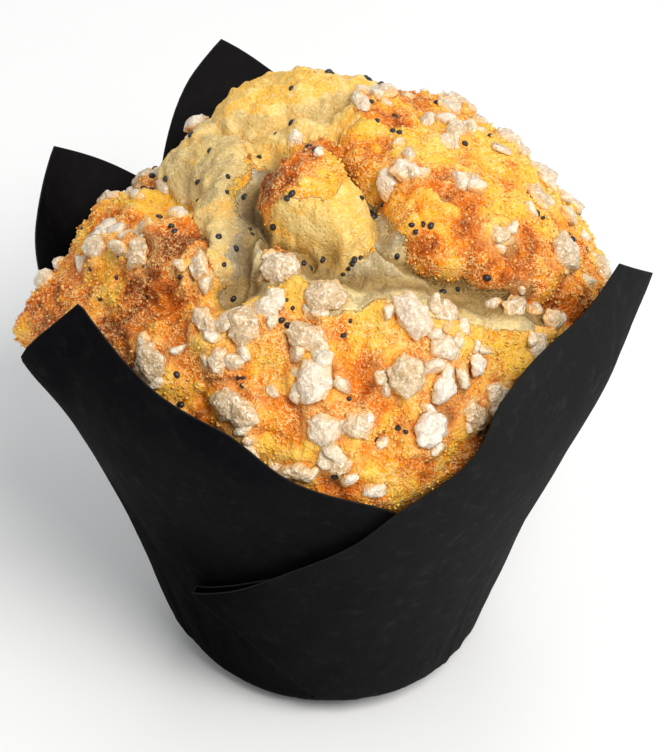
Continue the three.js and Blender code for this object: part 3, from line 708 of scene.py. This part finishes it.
def paper_grid():
    """Points of the paper's middle surface and its rim attribute: a column for each step round the
    sheet through every pleat, with rows from the base's middle out, up the foot and up the wall. A
    column ends where it meets the cut edge, found by halving a range of heights."""
    columns, rims = [], []
    for pleat, start, end in pleat_ends():
        first, second = pleat["first"], pleat["second"]
        counts = [first[0] - start[0], 0, first[0] - second[0], 0, end[0] - second[0]]
        counts = [int(np.ceil(span / COLUMN_STEP)) if span else FOLD_COLUMNS for span in counts]
        part = np.concatenate([np.full(n, k) for k, n in enumerate(counts)])[:, None]
        t = np.concatenate([np.arange(n) / n for n in counts])[:, None]
        low = np.full(t.shape, float(PLEAT_START))
        high = np.full(t.shape, HIGHEST_EDGE)
        for _ in range(HALVINGS):
            z = (low + high) / 2
            azimuth, _ = pleat_layers(pleat, start, end, part, t, z)
            under = edge_height(pleat, start, end, part, azimuth) > z
            low = np.where(under, z, low)
            high = np.where(under, high, z)
        top = low
        climb = np.append(np.linspace(0, 1, WALL_ROWS), 1)
        z = BASE_FILLET + (top - RIM_DEPTH - BASE_FILLET) * climb
        z[:, -1:] = top
        angle = np.radians(np.linspace(0, 78, FILLET_ROWS))
        foot_z = BASE_FILLET - (BASE_FILLET - PAPER / 2) * np.cos(angle) + 0 * top
        foot_r = BASE_RADIUS - BASE_FILLET + (BASE_FILLET - PAPER / 2) * np.sin(angle) + 0 * top
        flat_r = (BASE_RADIUS - BASE_FILLET) * np.array([0.3, 0.7]) + 0 * top
        z = np.concatenate([PAPER / 2 + 0 * flat_r, foot_z, z], 1)
        r = np.concatenate([flat_r, foot_r, wall_radius(z[:, 2 + FILLET_ROWS:]) - PAPER / 2], 1)
        azimuth, offset = pleat_layers(pleat, start, end, part, t, z)
        outer = (t if pleat["side"] < 0 else 1 - t) * (part == (0 if pleat["side"] < 0 else 4))
        free = outer * EDGE_FLARE * smoothstep(top - EDGE_FLARE_DEPTH, top, z)
        free = free * smoothstep(PLEAT_START, PLEAT_START + EDGE_FLARE_DEPTH, z)
        r = r + offset + free + paper_lean(azimuth, z) + crumple(azimuth, z)
        columns.append(around(r, azimuth, z))
        rims.append(smoothstep(RIM_DEPTH, 0, top - z))
    return np.concatenate(columns), np.concatenate(rims)


def make_case():
    """The paper as one closed skin: the middle surface moved half a thickness out and in along its
    normals, joined by the cut edge at the top and closed at the base by two fans."""
    points, rim = paper_grid()
    count, rows = rim.shape
    shift = grid_normals(points) * PAPER / 2
    outer, inner = points + shift, points - shift
    outer[:, :3, 2] = 0
    inner[:, :3, 2] = PAPER
    skins = np.concatenate([outer.reshape(-1, 3), inner.reshape(-1, 3), [[0, 0, 0], [0, 0, PAPER]]])
    half = count * rows
    i = np.arange(count)
    after = (i + 1) % count
    top = rows - 1
    here, there = i * rows + top, after * rows + top
    edge = np.stack([here, there, half + there, half + here], -1)
    fans = np.concatenate([
        np.stack([0 * i + 2 * half, after * rows, i * rows], -1),
        np.stack([0 * i + 2 * half + 1, half + i * rows, half + after * rows], -1),
    ])
    faces = [grid_faces(count, rows), grid_faces(count, rows, start=half)[:, ::-1], edge, fans]
    rims = np.concatenate([rim.ravel(), rim.ravel(), [0, 0]])
    make_piece(
        "folded_tulip_paper", skins, faces, paper_material(), ["tulip_case"], {"rim": rims},
    )


# ---------------------------------------------------------------- the muffin's crust

FACE = direction(np.array(-90.0), FACE_TILT)
FACE_UP = direction(np.array(90.0), 90 - FACE_TILT)


def face_place(ways):
    """Where unit vectors fall on the unrolled face: right and up, each at its true arc length from
    the middle of the face."""
    across, up = ways[..., 0], ways @ FACE_UP
    arc = FACE_RADIUS * np.arccos(np.clip(ways @ FACE, -1, 1)) / np.maximum(np.hypot(across, up), 1e-6)
    return arc * across, arc * up


def face_way(right, up):
    """The unit vector that falls on a place of the unrolled face."""
    right, up = np.asarray(right, float), np.asarray(up, float)
    arc = np.maximum(np.hypot(right, up), 1e-6)
    angle = arc / FACE_RADIUS
    side = np.array([1.0, 0.0, 0.0])
    turned = (right / arc)[..., None] * side + (up / arc)[..., None] * FACE_UP
    return np.cos(angle)[..., None] * FACE + np.sin(angle)[..., None] * turned


def swellings(ways):
    """Sum of bell shapes, each in the plane that touches the dome at its middle."""
    total = np.zeros(ways.shape[:-1])
    for azimuth, elevation, rise, across, up in SWELLINGS:
        middle = direction(np.array(float(azimuth)), elevation)
        east = direction(np.array(azimuth + 90.0), 0)
        x = DOME_MEAN * ways @ east / across
        y = DOME_MEAN * ways @ np.cross(middle, east) / up
        total += np.where(ways @ middle > 0, rise * np.exp(-x * x - y * y), 0)
    return total


def pillow(depth, width):
    """A rounded step: a quarter circle from 0 at the outline to 1 at width inside it."""
    t = np.clip(depth / width, 0, 1)
    return np.sqrt(1 - (1 - t) ** 2)


def crust_shape(ways):
    """Distance of the crust from the dome's centre, and how cracked, bare, cool and brown it is.
    The plain ellipsoid gets swellings, lobes with rounded sides, cracks along ragged lines, lumps
    of layered noise, and pores where the crumb is bare."""
    spot = ways * DOME_MEAN
    right, up = face_place(ways)
    right = right + 1.2 * noise(spot, 5.5, 11) + 0.9 * noise(spot, 2.2, 12)
    up = up + 1.2 * noise(spot, 5.5, 13) + 0.9 * noise(spot, 2.2, 14)
    radius = 1 / np.linalg.norm(ways / DOME_RADII, axis=-1) + swellings(ways) - ROUGH_RISE
    lobe = np.zeros(radius.shape)
    moat = np.zeros(radius.shape)
    for shape in LOBES.values():
        depth = inside(shape["outline"], right, up)
        lobe = np.maximum(lobe, shape["rise"] * pillow(depth, shape["round"]))
        moat = np.maximum(moat, smoothstep(-5, 0, depth))
    lobe = lobe - LOBE_MOAT * moat
    crack = np.zeros(radius.shape)
    deep = np.zeros(radius.shape)
    for depth, width, points in CRACKS:
        near = np.exp(-(to_line(points, right, up) / width) ** 2)
        crack = np.maximum(crack, depth * near)
        deep = np.maximum(deep, near * depth / 3)
    bare = np.zeros(radius.shape)
    cool = np.zeros(radius.shape)
    for amount, chill, outline in CRUMBS:
        here = amount * smoothstep(-1.2, 1.6, inside(outline, right, up))
        cool = np.where(here > bare, chill, cool)
        bare = np.maximum(bare, here)
    bare = np.maximum(bare, 0.7 * smoothstep(0.35, 0.9, deep))
    brown = 0.33 + 0.2 * noise(spot, 12, 21) + 0.3 * noise(spot, 4.5, 22) + 0.2 * noise(spot, 2, 23)
    brown = brown - 0.34 * smoothstep(0.05, 0.4, layered(spot, 5.5, 3, 24))
    for x, y, amount, reach in BROWNINGS:
        brown = brown + amount * np.exp(-((right - x) ** 2 + (up - y) ** 2) / reach ** 2)
    brown = brown + 0.28 * smoothstep(0.42, 0.1, ways[..., 2])
    lumps = 0.75 * noise(spot, 8, 31) + 0.7 * noise(spot, 4, 32)
    grains = 0.95 * (0.5 - nearest_seed(spot, 2.3, 36)) + 0.5 * (0.5 - nearest_seed(spot, 1.3, 37))
    rough = 0.6 * noise(spot, 2.4, 33) + grains
    creases = np.exp(-(noise(spot, 7, 38) / 0.1) ** 2)
    creases = creases + 0.7 * np.exp(-(noise(spot, 3.6, 39) / 0.12) ** 2)
    creases = creases * (1 - 0.8 * bare)
    pores = smoothstep(0.5, 0.1, nearest_seed(spot, 1.5, 35))
    lumps = lumps + rough * (1 - 0.15 * bare) - 0.3 * pores * bare
    # Painted shade: the crust is browner in the creases and paler on the raised grains and lumps.
    brown = brown - 0.25 * grains - 0.1 * lumps + 0.2 * creases
    lumps = lumps - 0.45 * creases
    return radius + lobe - crack + lumps, dict(crack=deep, crumb=bare, cool=cool, browning=brown)


def paper_edge(azimuth):
    """Height of the paper's edge at each azimuth: the higher of the two layers beside a pleat."""
    highest = np.zeros(azimuth.shape)
    for pleat, start, end in pleat_ends():
        turned = (azimuth - start[0]) % 360 + start[0]
        fall = smooth_through([start, *pleat["fall"], pleat["first"]], turned)
        rise = smooth_through([pleat["second"], *pleat["rise"], end], turned)
        here = np.maximum(
            np.where(turned < pleat["first"][0], fall, 0),
            np.where(turned > pleat["second"][0], rise, 0),
        )
        highest = np.where(turned < end[0], np.maximum(highest, here), highest)
    return highest


def nib_facts():
    """For each CAD nib: its name, its corners and middle, the way out through it from the dome's
    centre, the radius of its seat on the crust and half its width."""
    facts = []
    for name in sorted(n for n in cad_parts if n.startswith("sugar_nib_")):
        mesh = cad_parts[name].data
        flat = np.zeros(3 * len(mesh.vertices), np.float32)
        mesh.vertices.foreach_get("co", flat)
        corners = flat.reshape(-1, 3).astype(float) / METRES
        middle = (corners.min(0) + corners.max(0)) / 2
        way = unit(middle - DOME_CENTRE)
        along = (corners - DOME_CENTRE) @ way
        seat = along.min() + NIB_SINK * (along.max() - along.min())
        span = np.linalg.norm(corners - middle - ((corners - middle) @ way)[:, None] * way, axis=-1)
        facts.append(dict(
            name=name, mesh=mesh, corners=corners, middle=middle, way=way, seat=seat, half=span.max(),
        ))
    return facts


def crust_points(ways, nibs):
    """Points of the crust: its shape drawn to the seat of each nib, with a low glazed collar round
    the nib, and held inside the paper where the paper stands beside it."""
    radius, looks = crust_shape(ways)
    at_nibs = crust_shape(np.array([nib["way"] for nib in nibs]))[0]
    pull = np.zeros(radius.shape)
    share = np.zeros(radius.shape)
    collar = np.zeros(radius.shape)
    for nib, now in zip(nibs, at_nibs):
        apart = FACE_RADIUS * np.arccos(np.clip(ways @ nib["way"], -1, 1))
        near = np.exp(-(apart / (nib["half"] + 0.8)) ** 2)
        pull += near * (nib["seat"] - now)
        share += near
        collar = np.maximum(collar, np.exp(-((apart - nib["half"]) / 0.9) ** 2))
    radius = radius + pull / np.maximum(share, 1) + 0.6 * collar
    looks["glaze"] = collar
    points = DOME_CENTRE + ways * radius[..., None]
    azimuth = azimuth_of(ways)
    edge = np.maximum.reduce([paper_edge(azimuth + k * EDGE_MARGIN) for k in (-1, 0, 1)])
    z = points[..., 2]
    free = smoothstep(1, 5, z - np.maximum(edge, OVERHANG_HEIGHT))
    gap = BODY_CLEARANCE + (HIDDEN_CLEARANCE - BODY_CLEARANCE) * smoothstep(4, 12, edge - z)
    room = paper_room(azimuth, z) - gap + OVERHANG * free
    reach = np.hypot(points[..., 0], points[..., 1])
    points[..., :2] *= np.minimum(1, room / np.maximum(reach, 1e-6))[..., None]
    return points, looks


def make_muffin(nibs):
    """The cake in one piece: rings up the hidden body, a quarter circle at its foot and then the
    paper's own radius less a clearance, and above them a grid of crust rows to the crown."""
    azimuth = np.linspace(0, 360, CRUST_COLUMNS, endpoint=False)[:, None]
    elevation = LOWEST_CRUST + (90 - LOWEST_CRUST) * np.arange(CRUST_ROWS) / CRUST_ROWS
    ways = direction(azimuth, elevation[None, :])
    crust, looks = crust_points(ways, nibs)
    fillet = BASE_FILLET - BODY_CLEARANCE
    angle = np.radians(np.array([0, 30, 60, 82]))
    ring_r = np.concatenate([[9], BASE_RADIUS - BASE_FILLET + fillet * np.sin(angle)])
    ring_z = np.concatenate([[BODY_FLOOR], BODY_FLOOR + fillet * (1 - np.cos(angle))])
    tall = np.array([14, 22, 30, 37, 42, 45.0])
    ring_r = np.concatenate([ring_r, wall_radius(tall) - HIDDEN_CLEARANCE])
    ring_z = np.concatenate([ring_z, tall])
    points = np.concatenate([around(ring_r, azimuth, ring_z), crust], 1)
    count, rows = points.shape[:2]
    crown = crust_points(np.array([[0.0, 0.0, 1.0]]), nibs)[0]
    everything = np.concatenate([points.reshape(-1, 3), [[0, 0, BODY_FLOOR]], crown])
    faces = [grid_faces(count, rows), pole_faces(count, rows, count * rows, count * rows + 1)]
    under = np.zeros((count, len(ring_z)))
    attributes = {}
    for key, values in looks.items():
        level = 0.5 if key == "browning" else 0.0
        whole = np.concatenate([under + level, values], 1).ravel()
        attributes[key] = np.concatenate([whole, [level, values[:, -1].mean()]])
    make_piece(
        "lemon_muffin", everything, faces, crust_material(), ["muffin"], attributes,
    )
    return dict(
        ways=ways, points=crust, flat_points=crust.reshape(-1, 3),
        flat_normals=grid_normals(crust).reshape(-1, 3), **looks,
    )


# ---------------------------------------------------------------- sugar and seeds


def ball(columns, rows):
    """Unit directions of a ball's grid with its two poles last, and its faces."""
    azimuth = np.linspace(0, 360, columns, endpoint=False)[:, None]
    elevation = np.linspace(-90, 90, rows + 2)[None, 1:-1]
    ways = direction(azimuth, elevation).reshape(-1, 3)
    ways = np.concatenate([ways, [[0, 0, -1], [0, 0, 1]]])
    low = columns * rows
    return ways, [grid_faces(columns, rows), pole_faces(columns, rows, low, low + 1)]


def crystal_gauge(ways, normals, reach, sharp):
    """1 over the distance to flat sides along unit directions, and the same with sharp edges. The
    sides have normals and lie a reach from the middle; a power mean rounds them where they meet."""
    sides = np.maximum(ways @ (normals / reach[:, None]).T, 0)
    return (sides ** sharp).sum(-1) ** (1 / sharp), sides.max(-1)


def make_nib(nib, material):
    """One sugar nib: the CAD crystal's flat sides, rounded where they meet, then broken up by
    clumps, the tips of small crystals and grains."""
    mesh = nib["mesh"]
    flat = np.zeros(3 * len(mesh.polygons), np.float32)
    mesh.polygons.foreach_get("normal", flat)
    normals = flat.reshape(-1, 3).astype(float)
    firsts = np.array([p.vertices[0] for p in mesh.polygons])
    reach = ((nib["corners"][firsts] - nib["middle"]) * normals).sum(-1)
    ways, faces = ball(52, 31)
    gauge, flattest = crystal_gauge(ways, normals, reach, NIB_SHARPNESS)
    edge = smoothstep(1.008, 1.022, gauge / flattest)
    spot = nib["middle"] + ways / gauge[:, None]
    clump = 0.5 - nearest_seed(spot, 1.5, 41)
    crystal_tips = 0.5 - nearest_seed(spot, 0.75, 44)
    radius = 1.04 / gauge + 0.45 * clump + 0.32 * crystal_tips + 0.1 * noise(spot, 0.6, 42)
    radius = radius + 0.6 * noise(spot, 2.8, 43)
    points = nib["middle"] + ways * radius[:, None]
    foot = smoothstep(2.2, -0.2, (points - DOME_CENTRE) @ nib["way"] - nib["seat"])
    clear = 0.8 if nib["name"] in WHITE_NIBS else 0.5 * (0.618 * int(nib["name"][-2:]) % 1) ** 2
    looks = {"foot": foot, "edge": edge, "clear": np.full(edge.shape, clear)}
    make_piece(nib["name"] + "_crystal", points, faces, material, [nib["name"]], looks)


def pick_spots(crust, count, random, density):
    """Random grid numbers of the crust, as many for each as its area times a density."""
    points = crust["points"]
    across = np.linalg.norm(np.roll(points, -1, 0) - points, axis=-1)
    upward = np.linalg.norm(np.gradient(points, axis=1), axis=-1)
    weight = (across * upward * density).ravel()
    return random.choice(weight.size, count, p=weight / weight.sum())


def turned_shapes(shapes, places, normals, random):
    """Shapes set down at places, each turned at random about its normal and tipped a little."""
    count = len(places)
    out = unit(normals + 0.45 * random.normal(size=(count, 3)))
    aside = unit(np.cross(out, random.normal(size=(count, 3))))
    turns = np.stack([aside, np.cross(out, aside), out], -2)
    return places[:, None, :] + np.einsum("kvi,kij->kvj", shapes, turns)


def make_frost(crust, random):
    """Thousands of fine sugar grains: skewed cubes, thick on the crust and thin on bare crumb."""
    count = FROST_GRAINS
    corners = np.array(list(np.ndindex(2, 2, 2)), float) - 0.5
    sides = np.array([
        [0, 1, 3, 2], [4, 6, 7, 5], [0, 4, 5, 1], [2, 3, 7, 6], [0, 2, 6, 4], [1, 5, 7, 3],
    ])
    points, normals = crust["flat_points"], crust["flat_normals"]
    patchy = 0.15 + smoothstep(-0.3, 0.5, layered(crust["points"], 7, 2, 51))
    shown = smoothstep(48, 54, crust["points"][..., 2])
    whole = (1 - smoothstep(0.15, 0.65, crust["crumb"])) * (1 - 0.7 * np.clip(crust["crack"], 0, 1))
    picked = pick_spots(crust, count, random, patchy * shown * whole)
    sizes = random.uniform(0.16, 0.4, (count, 1)) * random.uniform(0.7, 1.2, (count, 3))
    jitter = random.uniform(-0.25, 0.25, (count, 3))
    places = points[picked] + jitter - normals[picked] * (0.05 * sizes[:, :1])
    grains = turned_shapes(corners * sizes[:, None, :], places, normals[picked], random)
    brown = crust["browning"].ravel()[picked] - 0.12
    stops, colours = zip(*CRUST_STOPS)
    tint = np.stack([np.interp(brown, stops, channel) for channel in zip(*colours)], -1)
    pale = 0.1 + 0.5 * random.uniform(0, 1, (count, 1)) ** 2
    tint = (1 - pale) * tint + pale * np.array(FROST_AND_GLINT)
    make_piece(
        "fine_sugar_frost", grains.reshape(-1, 3), repeated([sides], count, len(corners)),
        frost_material(), attributes={"tint": np.repeat(tint, len(corners), axis=0)},
    )


# Poppy seeds on the unrolled face: right, up.
FACE_SEEDS = [
    (-3, 36), (-2, 34), (0, 38), (-13, 40), (-15, 31), (-14, 25), (-13.5, 24), (-17, 21), (-5, 24),
    (8, 29), (9, 28), (8, 27), (12, 21), (12.6, 20.3), (15, 21), (14, 21.5), (8, 42), (11, 41),
    (12, 40), (12, 46), (23, 30), (11, 18), (4, 17), (5, 17.4), (3, 16.2), (2.4, 15.4), (3.6, 16.8),
    (-4, 17), (-3, 17), (-1, 18), (22, 14), (24, 14), (-19, 15), (-22, 14), (-24, 22), (-25, 23),
    (-16, 16), (-15, 20), (-16, 12), (-7, 10), (-6, 10), (-5, 9), (-8, 13), (3, 7), (2, 5), (-15, -1),
    (-13, -1), (-12, -2), (-12.2, -0.8), (1, -1), (3, -4), (10, -8), (7, -10), (-13, -8), (-12, -8.4),
    (19, 13), (27, 20), (34, 26), (35, 25), (39, 18), (47, 17), (50, 15), (-23, 30), (-33, 18),
    (-38, 12), (-22, 41), (-27, 46), (1, -15), (10.6, -8.6), (-30, 12),
]

# Small chips of sugar on the unrolled face: right, up, size.
FACE_CHIPS = [
    (2, -2, 3.2), (-8, -3, 1.8), (7, -17, 3.6), (-14, 4, 3), (-1, 2, 3), (14, 6, 3), (12, 33, 2.6),
    (12.5, 30, 2.2), (18, 45, 3), (25, 49, 4.2), (21, 40, 3.6), (11, 37, 2.2), (3, 50, 3),
    (6, 48, 3.4), (9, 49, 2.4), (-6, 41, 2.4), (-25, 26, 2.8), (-43, 27, 4.4), (-35, 23, 3),
    (-52, 17, 4.6), (-52, 21, 2.4), (-24, -1, 3.6), (-25, 4, 2.6), (3, -15, 2), (19, 6, 2.4),
    (-30, 25, 2.6), (-39, 25, 3.6), (-35, 39, 2.6), (33, 26, 2.6), (37, 21, 2.6), (35, 3, 2.6),
    (46, 16, 2.4), (-34, 27, 2.6), (-44, 19, 3), (-22, 3, 2), (24, -2, 2.4), (27, 45, 3),
    (30, 38, 2.6),
]
NIB_CHIPS = 2  # small chips stuck round each nib
LOOSE_CHIPS = 46
CHIP_KINDS = 8
LOOSE_SEEDS = 170


def spots_at(ways):
    """Grid numbers of the crust nearest to unit vectors."""
    elevation = np.degrees(np.arcsin(ways[:, 2]))
    i = np.round(azimuth_of(ways) % 360 / 360 * CRUST_COLUMNS).astype(int) % CRUST_COLUMNS
    j = np.round((elevation - LOWEST_CRUST) / (90 - LOWEST_CRUST) * CRUST_ROWS).astype(int)
    return i * CRUST_ROWS + np.clip(j, 0, CRUST_ROWS - 1)


def spots_on(places):
    """Grid numbers of the crust nearest to places on the unrolled face."""
    return spots_at(face_way(*np.array(places, float).T[:2]))


def clear_of(nibs, points, gap):
    """True for the points that lie further than gap outside every nib."""
    clear = np.ones(len(points), bool)
    for nib in nibs:
        clear &= np.linalg.norm(points - nib["middle"], axis=-1) > 0.8 * nib["half"] + gap
    return clear


def clear_of_paper(points, reach):
    """True for the points that stay a reach inside the paper or stand above its edge."""
    azimuth = azimuth_of(points)
    z = points[:, 2]
    within = np.hypot(points[:, 0], points[:, 1]) + reach < paper_room(azimuth, z) - 0.6
    return within | (z > paper_edge(azimuth) + reach + 1)


def make_seeds(crust, nibs, random):
    """Poppy seeds: kidney shapes, an oval whose one side is pushed in, pressed into the crust."""
    ways, faces = ball(10, 6)
    dent = 0.25 * np.exp(-((ways[:, 0] - 0.2) ** 2 + ways[:, 2] ** 2) / 0.12) * (ways[:, 1] > 0)
    seed = ways * (0.5 * np.array([1.0, 0.8, 0.75])) * (1 - dent)[:, None]
    points, normals = crust["flat_points"], crust["flat_normals"]
    shown = smoothstep(52, 58, crust["points"][..., 2])
    clusters = smoothstep(0.1, 0.6, noise(crust["points"], 6, 61)) + 0.08
    away = 0.25 + 0.75 * smoothstep(45, 60, np.hypot(*face_place(crust["ways"])))
    loose = pick_spots(crust, LOOSE_SEEDS, random, clusters * shown * away)
    picked = np.concatenate([spots_on(FACE_SEEDS), loose])
    picked = picked[clear_of(nibs, points[picked], 0.3) & clear_of_paper(points[picked], 0.6)]
    count = len(picked)
    sizes = random.uniform(0.75, 1.35, (count, 1, 1))
    places = points[picked] - 0.04 * normals[picked]
    copies = turned_shapes(seed * sizes, places, normals[picked], random).reshape(-1, 3)
    shells = repeated(faces, count, len(seed))
    make_piece("poppy_seeds", copies, shells, seed_material())


def crystal(ways, random):
    """A rough crystal on a ball's directions: flat sides square to random directions and the axes,
    rounded where they meet by a power mean."""
    normals = unit(np.concatenate([random.normal(size=(9, 3)), np.eye(3), -np.eye(3)]))
    reach = np.concatenate([random.uniform(0.72, 1.0, 9), np.full(6, 1.05)])
    return ways / crystal_gauge(ways, normals, reach, CHIP_SHARPNESS)[0][:, None]


def make_chips(crust, nibs, random, material):
    """Small chips of pearl sugar: between the nibs, and stuck round each one so that it looks
    like several crystals grown together."""
    ways, faces = ball(12, 7)
    points, normals = crust["flat_points"], crust["flat_normals"]
    shown = smoothstep(54, 60, crust["points"][..., 2]) * (1 - 0.8 * crust["crumb"])
    away = smoothstep(45, 60, np.hypot(*face_place(crust["ways"])))
    loose = pick_spots(crust, LOOSE_CHIPS, random, shown * (0.12 + away))
    picked = np.concatenate([spots_on(FACE_CHIPS), loose])
    sizes = np.concatenate([np.array(FACE_CHIPS)[:, 2], random.uniform(1.2, 3, len(loose))])
    clear = clear_of(nibs, points[picked], 0.2 * sizes)
    picked, sizes = picked[clear], sizes[clear]
    beside = []
    for nib in nibs:
        aside = unit(np.cross(random.normal(size=(NIB_CHIPS, 3)), nib["way"]))
        beside.append(nib["way"] + aside * 0.84 * nib["half"] / DOME_MEAN)
    beside = unit(np.concatenate(beside))
    picked = np.concatenate([picked, spots_at(beside)])
    sizes = np.concatenate([sizes, random.uniform(1.4, 3.2, len(beside))])
    inside_paper = clear_of_paper(points[picked], 0.5 * sizes)
    picked, sizes = picked[inside_paper], sizes[inside_paper]
    count = len(picked)
    scale = sizes[:, None] * random.uniform(0.7, 1.15, (count, 3)) * np.array([0.66, 0.44, 0.34])
    kinds = np.array([crystal(ways, random) for _ in range(CHIP_KINDS)])
    kind = np.arange(count) % CHIP_KINDS
    places = points[picked] + 0.02 * sizes[:, None] * normals[picked]
    copies = turned_shapes(kinds[kind] * scale[:, None, :], places, normals[picked], random)
    middle = copies.mean(1, keepdims=True)
    lumps = 1 + 0.3 * (0.5 - nearest_seed(copies, 1.1, 71)) + 0.12 * noise(copies, 0.7, 72)
    copies = middle + (copies - middle) * lumps[..., None]
    depth = ((copies - points[picked][:, None]) * normals[picked][:, None]).sum(-1)
    foot = smoothstep(0.9, -0.2, depth).ravel()
    edge = smoothstep(0.92, 1.08, np.linalg.norm(kinds, axis=-1))[kind].ravel()
    clear = np.repeat(0.6 * random.uniform(0, 1, count) ** 2, len(ways))
    make_piece(
        "small_sugar_chips", copies.reshape(-1, 3), repeated(faces, count, len(ways)), material,
        attributes={"foot": foot, "edge": edge, "clear": clear},
    )


# ---------------------------------------------------------------- table, light and camera

TABLE_HALF = 2.5  # metres, as are all lengths of the stage
CAMERA_DISTANCE = 0.45
CAMERA_LENS = 143.6


def make_stage():
    """A plain pale table top, far wider than the view."""
    g = Graph("pale_table", Specular_IOR_Level=0.2)
    colour = g.mix(g.noise(60.0), (0.86, 0.86, 0.85), (0.88, 0.88, 0.87))
    material = g.finish(Base_Color=colour, Roughness=0.7 + 0.05 * g.noise(20.0))
    mesh = bpy.data.meshes.new("table_top")
    corners = [(x * TABLE_HALF, y * TABLE_HALF, 0) for x, y in ((-1, -1), (1, -1), (1, 1), (-1, 1))]
    mesh.from_pydata(corners, [], [(0, 1, 2, 3)])
    mesh.materials.append(material)
    add_object("table_top", mesh)


def add_lamp(name, place, target, size, watts, colour=(1, 1, 1)):
    """A square area lamp at a place in metres, turned to shine at a target."""
    data = bpy.data.lights.new(name, "AREA")
    data.size = size
    data.energy = watts
    data.color = colour
    lamp = add_object(name, data)
    away = np.array(place) - np.array(target)
    lamp.location = place
    lamp.rotation_euler = (
        np.arctan2(np.hypot(away[0], away[1]), away[2]), 0, np.arctan2(away[1], away[0]) + np.pi / 2,
    )


def light_and_camera():
    """Even white daylight from all round, a large soft lamp above the right front, weaker ones at
    the right and the back, and the camera in front, looking down at the tilt of the face."""
    scene = bpy.context.scene
    scene.view_settings.view_transform = "Standard"
    world = bpy.data.worlds.new("studio")
    world.use_nodes = True
    sky = world.node_tree.nodes["Background"].inputs
    sky["Color"].default_value = (0.95, 0.97, 1, 1)
    sky["Strength"].default_value = 0.54
    scene.world = world
    middle = (0, 0, 0.05)
    add_lamp("key_softbox", (0.22, -0.42, 0.68), middle, 0.3, 4.9, (1, 0.98, 0.95))
    add_lamp("right_softbox", (0.6, -0.15, 0.35), middle, 0.4, 1.1)
    add_lamp("back_softbox", (0.0, 0.6, 0.6), middle, 0.5, 1.2)
    camera = add_object("camera", bpy.data.cameras.new("camera"))
    tilt = np.radians(FACE_TILT)
    target = np.array([0.00046, 0, 0.0491])
    camera.location = target + CAMERA_DISTANCE * np.array([0, -np.cos(tilt), np.sin(tilt)])
    camera.rotation_euler = (np.pi / 2 - tilt, 0, 0)
    camera.data.lens = CAMERA_LENS
    camera.data.clip_start = 0.01
    scene.camera = camera


# ---------------------------------------------------------------- putting it together

light_and_camera()
make_stage()
make_case()
nibs = nib_facts()
crust = make_muffin(nibs)
sugar = sugar_material()
for nib in nibs:
    make_nib(nib, sugar)
random = np.random.default_rng(20)
make_frost(crust, random)
make_chips(crust, nibs, random, sugar)
make_seeds(crust, nibs, random)

bpy.context.view_layer.update()
